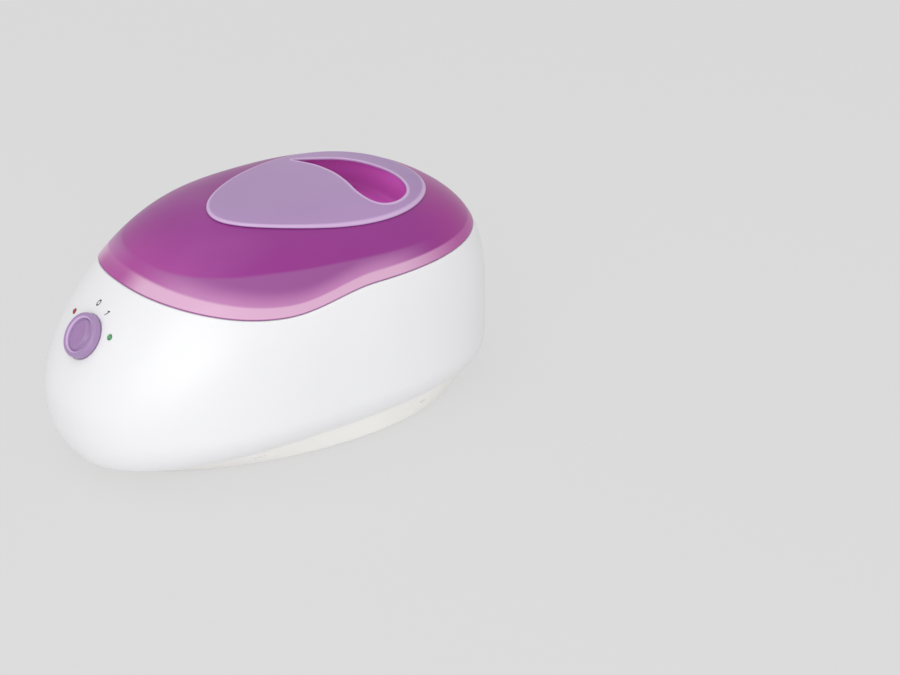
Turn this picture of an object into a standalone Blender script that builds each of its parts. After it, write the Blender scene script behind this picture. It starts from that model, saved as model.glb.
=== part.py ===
"""Paraffin bath: an oval heated tank in a white shell, with a lift-off lid and a rotary switch.

Metres, +Z up. The origin is on the surface that the bath stands on, under the middle of its box.
+X runs along the length from the switch end to the cord end, and the bath mirrors in the XZ plane
apart from the lid's finger hole and the wiring.
"""
import bmesh
import bpy
import math
import numpy as np
from mathutils import Matrix, Vector

for old in list(bpy.data.objects):
    bpy.data.objects.remove(old, do_unlink=True)

MM = 0.001

# clearances
GAP = 0.3 * MM
SKIRT_GAP = 0.4 * MM
OVERRUN = 4.0 * MM

# outer form, shared by the shell and the lid
HALF_LENGTH = 190.0 * MM
HALF_WIDTH = 110.0 * MM
CROWN_Z = 190.0 * MM
FRONT_DOME_LENGTH = 140.0 * MM
CROWN_X = FRONT_DOME_LENGTH - HALF_LENGTH
FRONT_WAIST_Z = 59.0 * MM
REAR_WAIST_Z = 40.0 * MM
SIDE_WAIST_Z = 46.0 * MM
FRONT_TUCK = 90.0 * MM
REAR_TUCK = 78.0 * MM
SIDE_TUCK = 56.0 * MM
FRONT_DOME_POWER = 1.55
REAR_DOME_POWER = 4.1
SIDE_DOME_POWER = 3.6
FRONT_TUCK_POWER = 2.7
REAR_TUCK_POWER = 2.3
SIDE_TUCK_POWER = 1.85
PLAN_POWER = 2.3
EGG_share = 0.02
FLARE_share = 0.038

# the parting line between shell and lid: higher at the front, with a droop on each side
LID_HEIGHT = 47.4 * MM
RIM_Z = CROWN_Z - LID_HEIGHT
RIM_TILT = 4.7 * MM
RIM_CUP = 2.5 * MM
DROOP = 10.3 * MM
DROOP_OFFSET = 1.0 * MM
DROOP_X = CROWN_X + DROOP_OFFSET
DROOP_FRONT = 117.0 * MM
DROOP_REAR = 84.0 * MM

# shell
SHELL_WALL = 2.6 * MM
LOWER_EDGE_Z = 21.0 * MM
LOWER_EDGE_RISE = 7.0 * MM
LIP_HEIGHT = 11.0 * MM
LIP_WALL = 2.4 * MM
LIP_ROUND = 0.8 * MM
LIP_ROOT = 4.0 * MM
DECK_DROP = 14.6 * MM
DECK_Z = RIM_Z - DECK_DROP
DECK_WALL = 2.4 * MM
DECK_FILLET = 1.6 * MM
AROUND = 52
TURN_PHASE = 0.11
WALL_shares = (0.0, 0.06, 0.16, 0.31, 0.5, 0.7, 0.86, 1.0)
INNER_WALL_shares = (0.88, 0.7, 0.48, 0.27, 0.1)

# base pan
PAN_FRONT_TUCK = 36.0 * MM
PAN_REAR_TUCK = 24.0 * MM
PAN_SIDE_TUCK = 20.0 * MM
PAN_FRONT = HALF_LENGTH - PAN_FRONT_TUCK
PAN_REAR = HALF_LENGTH - PAN_REAR_TUCK
PAN_HALF_WIDTH = HALF_WIDTH - PAN_SIDE_TUCK
PAN_EGG_share = 0.16
PAN_Z = 1.5 * MM
PAN_WALL = 2.5 * MM
PAN_FLOOR = 3.0 * MM
PAN_ROUND = 2.5 * MM
PAN_TOP_GAP = 0.5 * MM
PAN_LIP = 5.0 * MM
LATCH_LENGTH = 9.0 * MM
LATCH_HEIGHT = 3.0 * MM
LATCH_DEPTH = 1.2 * MM
LATCH_ANGLES = (62.0, 112.0, 147.0)

# feet and base screws
FOOT_RADIUS = 9.0 * MM
FOOT_SINK = 1.4 * MM
FOOT_ROUND = 0.8 * MM
FOOT_FRONT_INSET = 56.0 * MM
FOOT_REAR_INSET = 54.0 * MM
FOOT_FRONT_X = FOOT_FRONT_INSET - PAN_FRONT
FOOT_REAR_X = PAN_REAR - FOOT_REAR_INSET
FOOT_FRONT_Y = 44.0 * MM
FOOT_REAR_Y = 56.0 * MM
SCREW_RADIUS = 1.8 * MM
SCREW_HEAD = 3.6 * MM
SCREW_HEAD_HEIGHT = 1.8 * MM
SCREW_HEAD_SINK = 0.8 * MM
SCREW_LENGTH = 22.0 * MM
SCREW_FRONT_INSET = 26.0 * MM
SCREW_REAR_INSET = 14.5 * MM
SCREW_FRONT_X = SCREW_FRONT_INSET - PAN_FRONT
SCREW_REAR_X = PAN_REAR - SCREW_REAR_INSET
SCREW_FRONT_Y = 24.0 * MM
SCREW_REAR_Y = 24.0 * MM
BOSS_RADIUS = 5.0 * MM
BOSS_Z = 16.0 * MM

# tank
TANK_X = 18.5 * MM
TANK_END_ROOM = 66.0 * MM
TANK_HALF_LENGTH = HALF_LENGTH - TANK_END_ROOM
TANK_HALF_WIDTH = 71.0 * MM
TANK_POWER = 2.6
TANK_WALL = 1.2 * MM
TANK_FLANGE = 12.0 * MM
TANK_FLOOR_Z = 44.0 * MM
TANK_TAPER = 8.0 * MM
TANK_CORNER = 11.0 * MM
TANK_AROUND = 44
GASKET_HEIGHT = 1.2 * MM
GASKET_WIDTH = 7.0 * MM
SEAT_MARGIN = 1.2 * MM
STUD_RADIUS = 2.0 * MM
STUD_INSET = 13.5 * MM

# heater stack under the tank
PLATE_LENGTH_share = 0.5
PLATE_HALF_LENGTH = TANK_HALF_LENGTH * PLATE_LENGTH_share
PLATE_HALF_WIDTH = 44.0 * MM
PLATE_HEIGHT = 4.0 * MM
STUD_FRONT_X = TANK_X - PLATE_HALF_LENGTH + STUD_INSET
STUD_REAR_X = TANK_X + PLATE_HALF_LENGTH - STUD_INSET
ELEMENT_RADIUS = 3.3 * MM
ELEMENT_HALF_WIDTH = 30.0 * MM
ELEMENT_OVERHANG = 8.5 * MM
ELEMENT_REAR_INSET = 24.5 * MM
ELEMENT_FRONT_X = TANK_X - PLATE_HALF_LENGTH - ELEMENT_OVERHANG
ELEMENT_REAR_X = TANK_X + PLATE_HALF_LENGTH - ELEMENT_REAR_INSET
SHIELD_WALL = 0.8 * MM
SHIELD_REACH = 30.0 * MM
SHIELD_HALF_LENGTH = PLATE_HALF_LENGTH + SHIELD_REACH
SHIELD_HALF_WIDTH = 50.0 * MM
SHIELD_RIM = 5.5 * MM
PAD_HEIGHT = 2.2 * MM
PAD_MARGIN = 6.0 * MM
PAD_HALF_LENGTH = SHIELD_HALF_LENGTH - PAD_MARGIN
PAD_HALF_WIDTH = 44.5 * MM
NUT_FLATS = 7.0 * MM
NUT_HEIGHT = 2.4 * MM
STRIP_WALL = 0.8 * MM
STRIP_WIDTH = 9.0 * MM
THERMOSTAT_RADIUS = 8.0 * MM
THERMOSTAT_HEIGHT = 6.6 * MM
THERMOSTAT_REACH = 22.5 * MM
THERMOSTAT_X = TANK_X - PLATE_HALF_LENGTH - THERMOSTAT_REACH
FUSE_RADIUS = 2.0 * MM
FUSE_LENGTH = 12.0 * MM
FUSE_REACH = 11.5 * MM
FUSE_X = TANK_X + PLATE_HALF_LENGTH + FUSE_REACH

# lid
LID_WALL = 2.6 * MM
LID_RISE_shares = (0.0, 0.15, 0.31, 0.47, 0.62, 0.75, 0.86, 0.94, 0.985)

# handle panel on the lid, and its finger hole
PANEL_X = 37.0 * MM
PANEL_Y = -14.0 * MM
PANEL_HALF_LENGTH = 96.5 * MM
PANEL_HALF_WIDTH = 63.0 * MM
PANEL_EGG_share = 0.22
PANEL_SKEW_share = 0.04
PANEL_REST = 0.4 * MM
PANEL_RISE = 2.0 * MM
PANEL_BEAD = 0.3 * MM
PANEL_EDGE = 1.6 * MM
PANEL_AROUND = 44
HOLE_X = 52.2 * MM
HOLE_Y = -63.3 * MM
HOLE_WIDTH = 56.0 * MM
HOLE_LENGTH = 102.5 * MM
HOLE_shares = (
    (0.00, 1.00), (0.12, 0.98), (0.35, 0.92), (0.60, 0.85), (0.81, 0.73), (0.95, 0.56),
    (1.00, 0.39), (0.94, 0.21), (0.78, 0.08), (0.53, 0.005), (0.29, 0.00), (0.15, 0.07),
    (0.12, 0.21), (0.18, 0.40), (0.21, 0.60), (0.16, 0.79), (0.06, 0.92),
)
WELL_X = 73.5 * MM
WELL_Y = -13.0 * MM
WELL_HALF_LENGTH = 38.5 * MM
WELL_HALF_WIDTH = 58.0 * MM
WELL_POWER = 2.4
WELL_DEPTH = 30.0 * MM
WELL_FLOOR_Z = CROWN_Z - WELL_DEPTH
WELL_WALL = 2.4 * MM
WELL_DRAFT = 3.0 * MM
PEG_RADIUS = 3.2 * MM
PEG_GAP = 0.3 * MM
PEG_SCREW = 1.2 * MM
PEG_HEAD = 3.0 * MM
PEG_HEAD_HEIGHT = 1.6 * MM
PEG_SCREW_DEPTH = 4.0 * MM
PEG_PLACES_shares = ((-0.62, 0.0), (-0.18, 0.55), (-0.12, -0.55))

# switch on the sloping front
KNOB_DROP = 29.8 * MM
KNOB_Z = RIM_Z - KNOB_DROP
KNOB_RADIUS = 18.0 * MM
KNOB_HEIGHT = 5.6 * MM
KNOB_RIM = 2.6 * MM
KNOB_FOOT = 0.8 * MM
KNOB_DISH = 0.7 * MM
SEAT_DEPTH = 2.0 * MM
SEAT_RING = 0.6 * MM
GROOVE_RADIUS = 14.0 * MM
GRIP_LENGTH = 26.5 * MM
GRIP_WIDTH = 17.0 * MM
GRIP_DEPTH = 2.2 * MM
HUB_CAVITY = 9.5 * MM
HUB_CAVITY_TOP = 0.9 * MM
SHAFT_RADIUS = 3.0 * MM
SHAFT_TOP = 3.3 * MM
COLLAR_RADIUS = 4.6 * MM
COLLAR_TOP = 0.5 * MM
COLLAR_NUT_FLATS = 12.0 * MM
COLLAR_NUT_HEIGHT = 2.0 * MM
BOSS_DEPTH = 6.0 * MM
BOSS_ROOT = 0.8 * MM
SWITCH_WIDTH = 22.0 * MM
SWITCH_HEIGHT = 18.0 * MM
SWITCH_LENGTH = 17.0 * MM
SHAFT_ROOT = 5.0 * MM

# pilot lamps
LAMP_UP = 8.8 * MM
LAMP_SPREAD = 27.5 * MM
LAMP_SHIFT = 2.0 * MM
LAMP_RADIUS = 2.2 * MM
LAMP_DOME = 1.0 * MM
LAMP_FLANGE = 3.6 * MM
LAMP_FLANGE_HEIGHT = 1.2 * MM
LAMP_SEAT = 0.5 * MM
HOLDER_RADIUS = 4.2 * MM
HOLDER_LENGTH = 10.0 * MM

# cord outlet, terminal block and leads
GLAND_Z = 60.0 * MM
GLAND_RADIUS = 6.4 * MM
GLAND_FLANGE = 9.5 * MM
GLAND_FLANGE_HEIGHT = 2.7 * MM
GLAND_ROUND = 0.8 * MM
GLAND_BORE = 3.4 * MM
GLAND_TAIL = 7.0 * MM
GLAND_NUT_FLATS = 17.0 * MM
GLAND_NUT_HEIGHT = 4.0 * MM
GLAND_SINK = 3.4 * MM
GLAND_GAP = 0.6 * MM
GLAND_PAD = 2.4 * MM
BLOCK_INSET = 54.0 * MM
BLOCK_X = PAN_REAR - BLOCK_INSET
BLOCK_Y = 0.0 * MM
BLOCK_LENGTH = 30.0 * MM
BLOCK_WIDTH = 16.0 * MM
BLOCK_HEIGHT = 12.0 * MM
BLOCK_BEVEL = 1.0 * MM
LEAD_RADIUS = 1.2 * MM
LEAD_PITCH = 4.0 * MM
LEAD_PLUG = 3.0 * MM


# helpers

def material(name, color, roughness, metallic=0.0):
    found = bpy.data.materials.get(name)
    if found:
        return found
    made = bpy.data.materials.new(name)
    made.use_nodes = True
    shader = made.node_tree.nodes["Principled BSDF"]
    shader.inputs["Base Color"].default_value = (*color, 1.0)
    shader.inputs["Roughness"].default_value = roughness
    shader.inputs["Metallic"].default_value = metallic
    made.diffuse_color = (*color, 1.0)
    return made


def finish(name, bm, look, location=(0, 0, 0), frame=None, sharp=38.0):
    bmesh.ops.recalc_face_normals(bm, faces=bm.faces)
    mesh = bpy.data.meshes.new(name)
    bm.to_mesh(mesh)
    bm.free()
    mesh.materials.append(look)
    mesh.shade_smooth()
    mesh.set_sharp_from_angle(angle=math.radians(sharp))
    made = bpy.data.objects.new(name, mesh)
    bpy.context.scene.collection.objects.link(made)
    made.location = location
    if frame is not None:
        made.matrix_world = frame
    return made


def loft(name, rings, look, closed=False, **place):
    """Skin a list of rings: one point is a pole, another end gets a flat face, closed joins the ends."""
    bm = bmesh.new()
    made = [[bm.verts.new(Vector(p)) for p in ring] for ring in rings]
    pairs = list(zip(made, made[1:]))
    if closed:
        pairs.append((made[-1], made[0]))
    for low, high in pairs:
        count = max(len(low), len(high))
        for i in range(count):
            j = (i + 1) % count
            corners = []
            for vert in (low[i % len(low)], low[j % len(low)], high[j % len(high)], high[i % len(high)]):
                if vert not in corners:
                    corners.append(vert)
            bm.faces.new(corners)
    if not closed:
        for end in (made[0], made[-1]):
            if len(end) > 1:
                bm.faces.new(end)
    return finish(name, bm, look, **place)


def circle(radius, z, count):
    turn = np.arange(count) * 2 * math.pi / count + TURN_PHASE
    return np.stack([radius * np.cos(turn), radius * np.sin(turn), np.full(count, z)], axis=1)


def turned(name, profile, look, count=24, closed=False, **place):
    """A body of revolution about its own Z; radius zero closes an end, flat or as a pole."""
    flat = [p for i, p in enumerate(profile) if p[0] > 0 or p[1] != profile[i - 1 if i else 1][1]]
    rings = [circle(r, z, count) if r > 0 else np.array([[0, 0, z]]) for r, z in flat]
    return loft(name, rings, look, closed=closed, **place)


def rod(name, radius, low, high, look, count=24, **place):
    """A plain cylinder along its own Z."""
    return turned(name, ((0, low), (radius, low), (radius, high), (0, high)), look, count=count, **place)


def hexagon(flats, z, count):
    turn = np.arange(count) * 2 * math.pi / count + TURN_PHASE
    sector = (turn + math.pi / 6) % (math.pi / 3) - math.pi / 6
    radius = flats / 2 / np.cos(sector)
    return np.stack([radius * np.cos(turn), radius * np.sin(turn), np.full(count, z)], axis=1)


def nut(name, flats, bore, bottom, height, look, count=18, **place):
    rings = [
        hexagon(flats, bottom, count), hexagon(flats, bottom + height, count),
        circle(bore, bottom + height, count), circle(bore, bottom, count),
    ]
    return loft(name, rings, look, closed=True, **place)


def prism(name, outline, low, high, look, **place):
    """Extrude a flat outline of (x, y) points from low to high."""
    rings = [np.array([(x, y, z) for x, y in outline]) for z in (low, high)]
    bm = bmesh.new()
    made = [[bm.verts.new(Vector(p)) for p in ring] for ring in rings]
    count = len(outline)
    for i in range(count):
        j = (i + 1) % count
        bm.faces.new((made[0][i], made[0][j], made[1][j], made[1][i]))
    bm.faces.new(made[0])
    bm.faces.new(made[1])
    return finish(name, bm, look, **place)


def block(name, size, centre, look, frame=None, bevel=0.0):
    bm = bmesh.new()
    bmesh.ops.create_cube(bm, size=1.0)
    bmesh.ops.scale(bm, vec=size, verts=bm.verts)
    bmesh.ops.translate(bm, vec=centre, verts=bm.verts)
    if bevel:
        bmesh.ops.bevel(bm, geom=list(bm.edges), offset=bevel, segments=1, affect="EDGES")
    return finish(name, bm, look, frame=frame)


def tool(made):
    made.hide_render = True
    made.display_type = "WIRE"
    return made


def combine(target, other, operation):
    mod = target.modifiers.new(operation.lower(), "BOOLEAN")
    mod.operation = operation
    mod.solver = "EXACT"
    mod.object = tool(other)


def cut(target, other):
    combine(target, other, "DIFFERENCE")


def add(target, other):
    combine(target, other, "UNION")


def spline(points, steps, closed=False):
    """Points along a smooth curve through the given points."""
    pts = [np.array(p, float) for p in points]
    count = len(pts)
    made = []
    for i in range(count if closed else count - 1):
        if closed:
            a, b, c, d = (pts[(i + k) % count] for k in (-1, 0, 1, 2))
        else:
            a, b, c, d = pts[max(i - 1, 0)], pts[i], pts[i + 1], pts[min(i + 2, count - 1)]
        for step in range(steps):
            u = step / steps
            made.append(0.5 * (2 * b + (c - a) * u + (2 * a - 5 * b + 4 * c - d) * u * u
                               + (3 * b - a - 3 * c + d) * u ** 3))
    if not closed:
        made.append(pts[-1])
    return made


def tube(name, route, radius, look, steps=5, resolution=2):
    data = bpy.data.curves.new(name, "CURVE")
    data.dimensions = "3D"
    data.bevel_depth = radius
    data.bevel_resolution = resolution
    data.use_fill_caps = True
    points = [np.array(route[0])] + spline(route[1:-1], steps) + [np.array(route[-1])]
    line = data.splines.new("POLY")
    line.points.add(len(points) - 1)
    for spot, point in zip(line.points, points):
        spot.co = (*point, 1.0)
    data.materials.append(look)
    made = bpy.data.objects.new(name, data)
    bpy.context.scene.collection.objects.link(made)
    return made


# the outer form

def bulge(share, power):
    """Quarter of a superellipse: 1 at share 0, falling to 0 at share 1."""
    share = np.clip(share, 0.0, 1.0)
    return (1.0 - share ** power) ** (1.0 / power)


def profile(z, inset=0.0):
    """Front end, rear end and half width of the form at height z, moved in by the inset."""
    z = np.asarray(z, float)
    crown = CROWN_Z - inset
    half = HALF_LENGTH - inset
    wide = HALF_WIDTH - inset

    def up(waist):
        return np.clip((z - waist) / (crown - waist), 0.0, 1.0)

    def down(waist, tuck):
        return np.clip((waist - z) / tuck, 0.0, 1.0)

    front = np.where(
        z > FRONT_WAIST_Z,
        CROWN_X - (half + CROWN_X) * bulge(up(FRONT_WAIST_Z), FRONT_DOME_POWER),
        -half * bulge(down(FRONT_WAIST_Z, FRONT_TUCK), FRONT_TUCK_POWER),
    )
    rear = np.where(
        z > REAR_WAIST_Z,
        CROWN_X + (half - CROWN_X) * bulge(up(REAR_WAIST_Z), REAR_DOME_POWER),
        half * bulge(down(REAR_WAIST_Z, REAR_TUCK), REAR_TUCK_POWER),
    )
    side = np.where(
        z > SIDE_WAIST_Z,
        wide * bulge(up(SIDE_WAIST_Z), SIDE_DOME_POWER),
        wide * bulge(down(SIDE_WAIST_Z, SIDE_TUCK), SIDE_TUCK_POWER),
    )
    return front, rear, side


def form(turn, z, inset=0.0):
    """Point of the outer form at an angle round it (0 at the rear end) and a height."""
    front, rear, side = profile(z, inset)
    power = 2.0 / PLAN_POWER
    c = np.cos(turn)
    s = np.sin(turn)
    c = np.sign(c) * np.abs(c) ** power
    s = np.sign(s) * np.abs(s) ** power
    x = (front + rear) / 2 + (rear - front) / 2 * c
    y = side * s * (1.0 + EGG_share * c + 2.0 * FLARE_share * c * c)
    return np.stack(np.broadcast_arrays(x, y, z), axis=-1)


def front_point(y, z):
    """Point of the front half of the form at a given y and height."""
    front, rear, side = profile(z)
    c = -1.0
    for _ in range(12):
        wide = side * (1.0 + EGG_share * c + 2.0 * FLARE_share * c * c)
        c = -(1.0 - min(abs(y / wide), 0.999) ** PLAN_POWER) ** (1.0 / PLAN_POWER)
    return Vector(((front + rear) / 2 + (rear - front) / 2 * c, y, z))


def front_frame(y, z):
    """Frame on the front face: X to the right seen from outside, Y up the slope, Z outwards."""
    step = LID_WALL
    here = front_point(y, z)
    across = front_point(y - step, z) - front_point(y + step, z)
    rise = front_point(y, z + step) - front_point(y, z - step)
    out = across.cross(rise).normalized()
    up = (rise - out * rise.dot(out)).normalized()
    right = up.cross(out)
    made = Matrix((right, up, out)).transposed().to_4x4()
    made.translation = here
    return made


def lid_height(x, y, inset=0.0):
    """Height of the form above a point of the plan, by halving."""
    low = np.full(np.shape(x), SIDE_WAIST_Z)
    high = np.full(np.shape(x), CROWN_Z - inset)
    for _ in range(32):
        z = (low + high) / 2
        front, rear, side = profile(z, inset)
        c = (x - (front + rear) / 2) / np.maximum((rear - front) / 2, GAP)
        wide = np.maximum(side * (1.0 + EGG_share * c + 2.0 * FLARE_share * c * c), GAP)
        inside = np.abs(c) ** PLAN_POWER + np.abs(y / wide) ** PLAN_POWER < 1.0
        low = np.where(inside, z, low)
        high = np.where(inside, high, z)
    return low


def around(count=AROUND):
    return np.arange(count) * 2 * math.pi / count


def rim_height(turn):
    """Parting line: a tilt, a little cupping and a cosine droop on each side."""
    z = np.full(np.shape(turn), RIM_Z)
    for _ in range(4):
        x = form(turn, z)[..., 0]
        reach = np.where(x < DROOP_X, DROOP_FRONT, DROOP_REAR)
        share = np.clip((x - DROOP_X) / reach, -1.0, 1.0)
        droop = DROOP * 0.5 * (1.0 + np.cos(math.pi * share))
        z = RIM_Z - RIM_TILT * np.cos(turn) + RIM_CUP * np.cos(2 * turn) - droop
    return z


def edge_height(turn):
    return LOWER_EDGE_Z + LOWER_EDGE_RISE * np.cos(turn)


# materials

WHITE = material("white_shell", (0.90, 0.90, 0.91), 0.28)
PAN_WHITE = material("white_pan", (0.78, 0.78, 0.76), 0.45)
MAGENTA = material("magenta_lid", (0.30, 0.06, 0.27), 0.22)
LILAC = material("lilac_panel", (0.43, 0.27, 0.50), 0.35)
ALUMINIUM = material("tank_aluminium", (0.80, 0.81, 0.82), 0.35, 1.0)
STEEL = material("zinc_steel", (0.62, 0.63, 0.64), 0.35, 1.0)
RUBBER = material("foot_rubber", (0.05, 0.05, 0.055), 0.8)
SILICONE = material("gasket_silicone", (0.75, 0.74, 0.70), 0.6)
RED = material("red_lens", (0.50, 0.02, 0.03), 0.2)
GREEN = material("green_lens", (0.07, 0.35, 0.10), 0.2)
BLACK = material("black_plastic", (0.03, 0.03, 0.03), 0.5)
CREAM = material("cream_plastic", (0.72, 0.68, 0.58), 0.5)
MINERAL = material("mineral_pad", (0.55, 0.52, 0.45), 0.95)
LEAD_BLUE = material("lead_blue", (0.05, 0.15, 0.45), 0.45)
LEAD_BROWN = material("lead_brown", (0.20, 0.09, 0.04), 0.45)

turns = around()
rim = rim_height(turns)
edge = edge_height(turns)

# shell: wall, ledge for the lid, lip, deck round the tank

LIP_OUT = LID_WALL + SKIRT_GAP
LIP_IN = LIP_OUT + LIP_WALL


def tank_ring(offset, z, count=TANK_AROUND):
    """Superellipse of the tank's opening, grown by the offset."""
    turn = around(count)
    power = 2.0 / TANK_POWER
    c = np.sign(np.cos(turn)) * np.abs(np.cos(turn)) ** power
    s = np.sign(np.sin(turn)) * np.abs(np.sin(turn)) ** power
    x = TANK_X + (TANK_HALF_LENGTH + offset) * c
    y = (TANK_HALF_WIDTH + offset) * s
    return np.stack([x, y, np.full(count, z)], axis=1)


deck_hole = TANK_WALL + SEAT_MARGIN
thick_z = np.minimum(rim - LIP_WALL, DECK_Z - DECK_WALL)
under_z = DECK_Z - DECK_WALL
rings = [form(turns, edge + (rim - edge) * s) for s in WALL_shares]
rings.append(form(turns, rim, LIP_OUT))
rings.append(form(turns, rim + LIP_HEIGHT - LIP_ROUND, LIP_OUT))
rings.append(form(turns, rim + LIP_HEIGHT, LIP_OUT + LIP_ROUND))
rings.append(form(turns, rim + LIP_HEIGHT, LIP_IN - LIP_ROUND))
rings.append(form(turns, rim + LIP_HEIGHT - LIP_ROUND, LIP_IN))
for s in (0.5, 1.0):
    top = rim + LIP_HEIGHT - LIP_ROUND
    rings.append(form(turns, top + (DECK_Z + DECK_FILLET - top) * s, LIP_IN))
rings.append(form(turns, np.full(AROUND, DECK_Z), LIP_IN + DECK_FILLET))
rings.append(tank_ring(deck_hole, DECK_Z, AROUND))
rings.append(tank_ring(deck_hole, under_z, AROUND))
rings.append(form(turns, np.full(AROUND, under_z), LIP_IN + LIP_ROUND))
rings.append(form(turns, thick_z, LIP_IN))
rings.append(form(turns, thick_z - LIP_ROOT, SHELL_WALL))
low_z = edge
high_z = thick_z - LIP_ROOT
for s in INNER_WALL_shares:
    rings.append(form(turns, low_z + (high_z - low_z) * s, SHELL_WALL))
rings.append(form(turns, edge, SHELL_WALL))
body_shell = loft("body_shell", rings, WHITE, closed=True)

# switch frame and lamp frames

knob_frame = front_frame(0.0, KNOB_Z)
slope_up = knob_frame.col[1].to_3d()
slope_out = knob_frame.col[2].to_3d()
lamp_z = KNOB_Z + LAMP_UP * slope_up.z
red_frame = front_frame(LAMP_SHIFT + LAMP_SPREAD, lamp_z)
green_frame = front_frame(LAMP_SHIFT - LAMP_SPREAD, lamp_z)

seat_radius = KNOB_RADIUS + SEAT_RING
add(body_shell, rod(
    "switch_boss_form", KNOB_RADIUS, -BOSS_DEPTH, -SEAT_DEPTH + BOSS_ROOT, WHITE, 40, frame=knob_frame))
cut(body_shell, rod("switch_seat_cut", seat_radius, -SEAT_DEPTH, OVERRUN, WHITE, 40, frame=knob_frame))
cut(body_shell, rod(
    "switch_hole_cut", COLLAR_RADIUS + GAP, -BOSS_DEPTH - OVERRUN, OVERRUN, WHITE, frame=knob_frame))
for side, frame in (("red", red_frame), ("green", green_frame)):
    cut(body_shell, rod(
        side + "_hole_cut", LAMP_RADIUS + GAP, -SHELL_WALL - OVERRUN, OVERRUN, WHITE, 20, frame=frame))

# screw bosses, cord outlet

SCREW_PLACES = (
    ("front_left", SCREW_FRONT_X, SCREW_FRONT_Y), ("front_right", SCREW_FRONT_X, -SCREW_FRONT_Y),
    ("rear_left", SCREW_REAR_X, SCREW_REAR_Y), ("rear_right", SCREW_REAR_X, -SCREW_REAR_Y),
)
pilot = SCREW_RADIUS + GAP
for name, x, y in SCREW_PLACES:
    place = (x, y, 0)
    boss_top = DECK_Z - DECK_WALL / 2
    add(body_shell, rod("boss_form_" + name, BOSS_RADIUS, BOSS_Z, boss_top, WHITE, 16, location=place))
    cut(body_shell, rod(
        "pilot_cut_" + name, pilot, BOSS_Z - OVERRUN, BOSS_Z + SCREW_LENGTH, WHITE, 12, location=place))

gland_face = float(form(0.0, GLAND_Z)[0])
gland_frame = Matrix.Translation((gland_face, 0, GLAND_Z)) @ Matrix.Rotation(math.pi / 2, 4, "Y")
outlet = GLAND_RADIUS + GAP
recess = GLAND_FLANGE + GLAND_GAP
pad_back = -GLAND_SINK - GLAND_PAD
add(body_shell, rod(
    "outlet_pad_form", recess + GLAND_PAD, pad_back, -SHELL_WALL + BOSS_ROOT, WHITE, 28, frame=gland_frame))
cut(body_shell, rod("outlet_recess_cut", recess, -GLAND_SINK, OVERRUN, WHITE, 28, frame=gland_frame))
cut(body_shell, rod("outlet_cut", outlet, pad_back - OVERRUN, OVERRUN, WHITE, frame=gland_frame))

# base pan

pan_turns = turns


def pan_ring(z, grow=0.0):
    """Egg outline of the pan's foot at a height, grown or shrunk."""
    half = (PAN_FRONT + PAN_REAR) / 2 + grow
    middle = (PAN_REAR - PAN_FRONT) / 2
    c = np.cos(pan_turns)
    s = np.sin(pan_turns)
    y = (PAN_HALF_WIDTH + grow) * s * (1.0 + PAN_EGG_share * c)
    return np.stack([middle + half * c, y, np.full(AROUND, z)], axis=1)


pan_reach = SHELL_WALL + SKIRT_GAP
floor_top = PAN_Z + PAN_FLOOR
top_outer = form(pan_turns, edge, pan_reach)
top_outer[:, 2] = edge - PAN_TOP_GAP
foot_outer = pan_ring(PAN_Z + PAN_ROUND)
mid_outer = (foot_outer + top_outer) / 2
lip_outer = top_outer.copy()
lip_outer[:, 2] = edge + PAN_LIP
top_inner = form(pan_turns, edge, pan_reach + PAN_WALL)
lip_inner = top_inner.copy()
lip_inner[:, 2] = edge + PAN_LIP
top_inner[:, 2] = edge - PAN_TOP_GAP
foot_inner = pan_ring(floor_top + PAN_ROUND, -PAN_WALL)
rings = [
    pan_ring(PAN_Z, -PAN_ROUND), foot_outer, mid_outer, top_outer, lip_outer, lip_inner, top_inner,
    (foot_inner + top_inner) / 2, foot_inner, pan_ring(floor_top, -PAN_WALL - PAN_ROUND),
]
base_pan = loft("base_pan", rings, PAN_WHITE)

FEET = (
    ("front_left", FOOT_FRONT_X, FOOT_FRONT_Y), ("front_right", FOOT_FRONT_X, -FOOT_FRONT_Y),
    ("rear_left", FOOT_REAR_X, FOOT_REAR_Y), ("rear_right", FOOT_REAR_X, -FOOT_REAR_Y),
)
for name, x, y in FEET:
    foot_top = PAN_Z + FOOT_SINK
    place = (x, y, 0)
    cut(base_pan, rod(
        "foot_cut_" + name, FOOT_RADIUS + GAP, -OVERRUN, foot_top, PAN_WHITE, 18, location=place))
    turned("foot_" + name, (
        (0, 0), (FOOT_RADIUS - FOOT_ROUND, 0), (FOOT_RADIUS, FOOT_ROUND), (FOOT_RADIUS, foot_top - GAP),
        (0, foot_top - GAP)), RUBBER, count=18, location=place)

head_room = SCREW_HEAD + GAP
head_z = PAN_Z + SCREW_HEAD_SINK
tower_top = BOSS_Z - GAP
for name, x, y in SCREW_PLACES:
    place = (x, y, 0)
    seat = head_z + SCREW_HEAD_HEIGHT + GAP
    wide = head_room + PAN_WALL
    root = PAN_Z + PAN_FLOOR / 2
    add(base_pan, rod("tower_form_" + name, wide, root, tower_top, PAN_WHITE, 14, location=place))
    cut(base_pan, turned(
        "head_cut_" + name, (
            (0, -OVERRUN), (head_room, -OVERRUN), (head_room, seat), (pilot, seat),
            (pilot, tower_top + OVERRUN), (0, tower_top + OVERRUN)),
        PAN_WHITE, count=14, location=place))
    turned("base_screw_" + name, (
        (0, head_z), (SCREW_HEAD, head_z), (SCREW_HEAD, head_z + SCREW_HEAD_HEIGHT),
        (SCREW_RADIUS, head_z + SCREW_HEAD_HEIGHT), (SCREW_RADIUS, BOSS_Z + SCREW_LENGTH - PAN_WALL),
        (0, BOSS_Z + SCREW_LENGTH - GAP)), STEEL, count=12, location=place)


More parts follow.
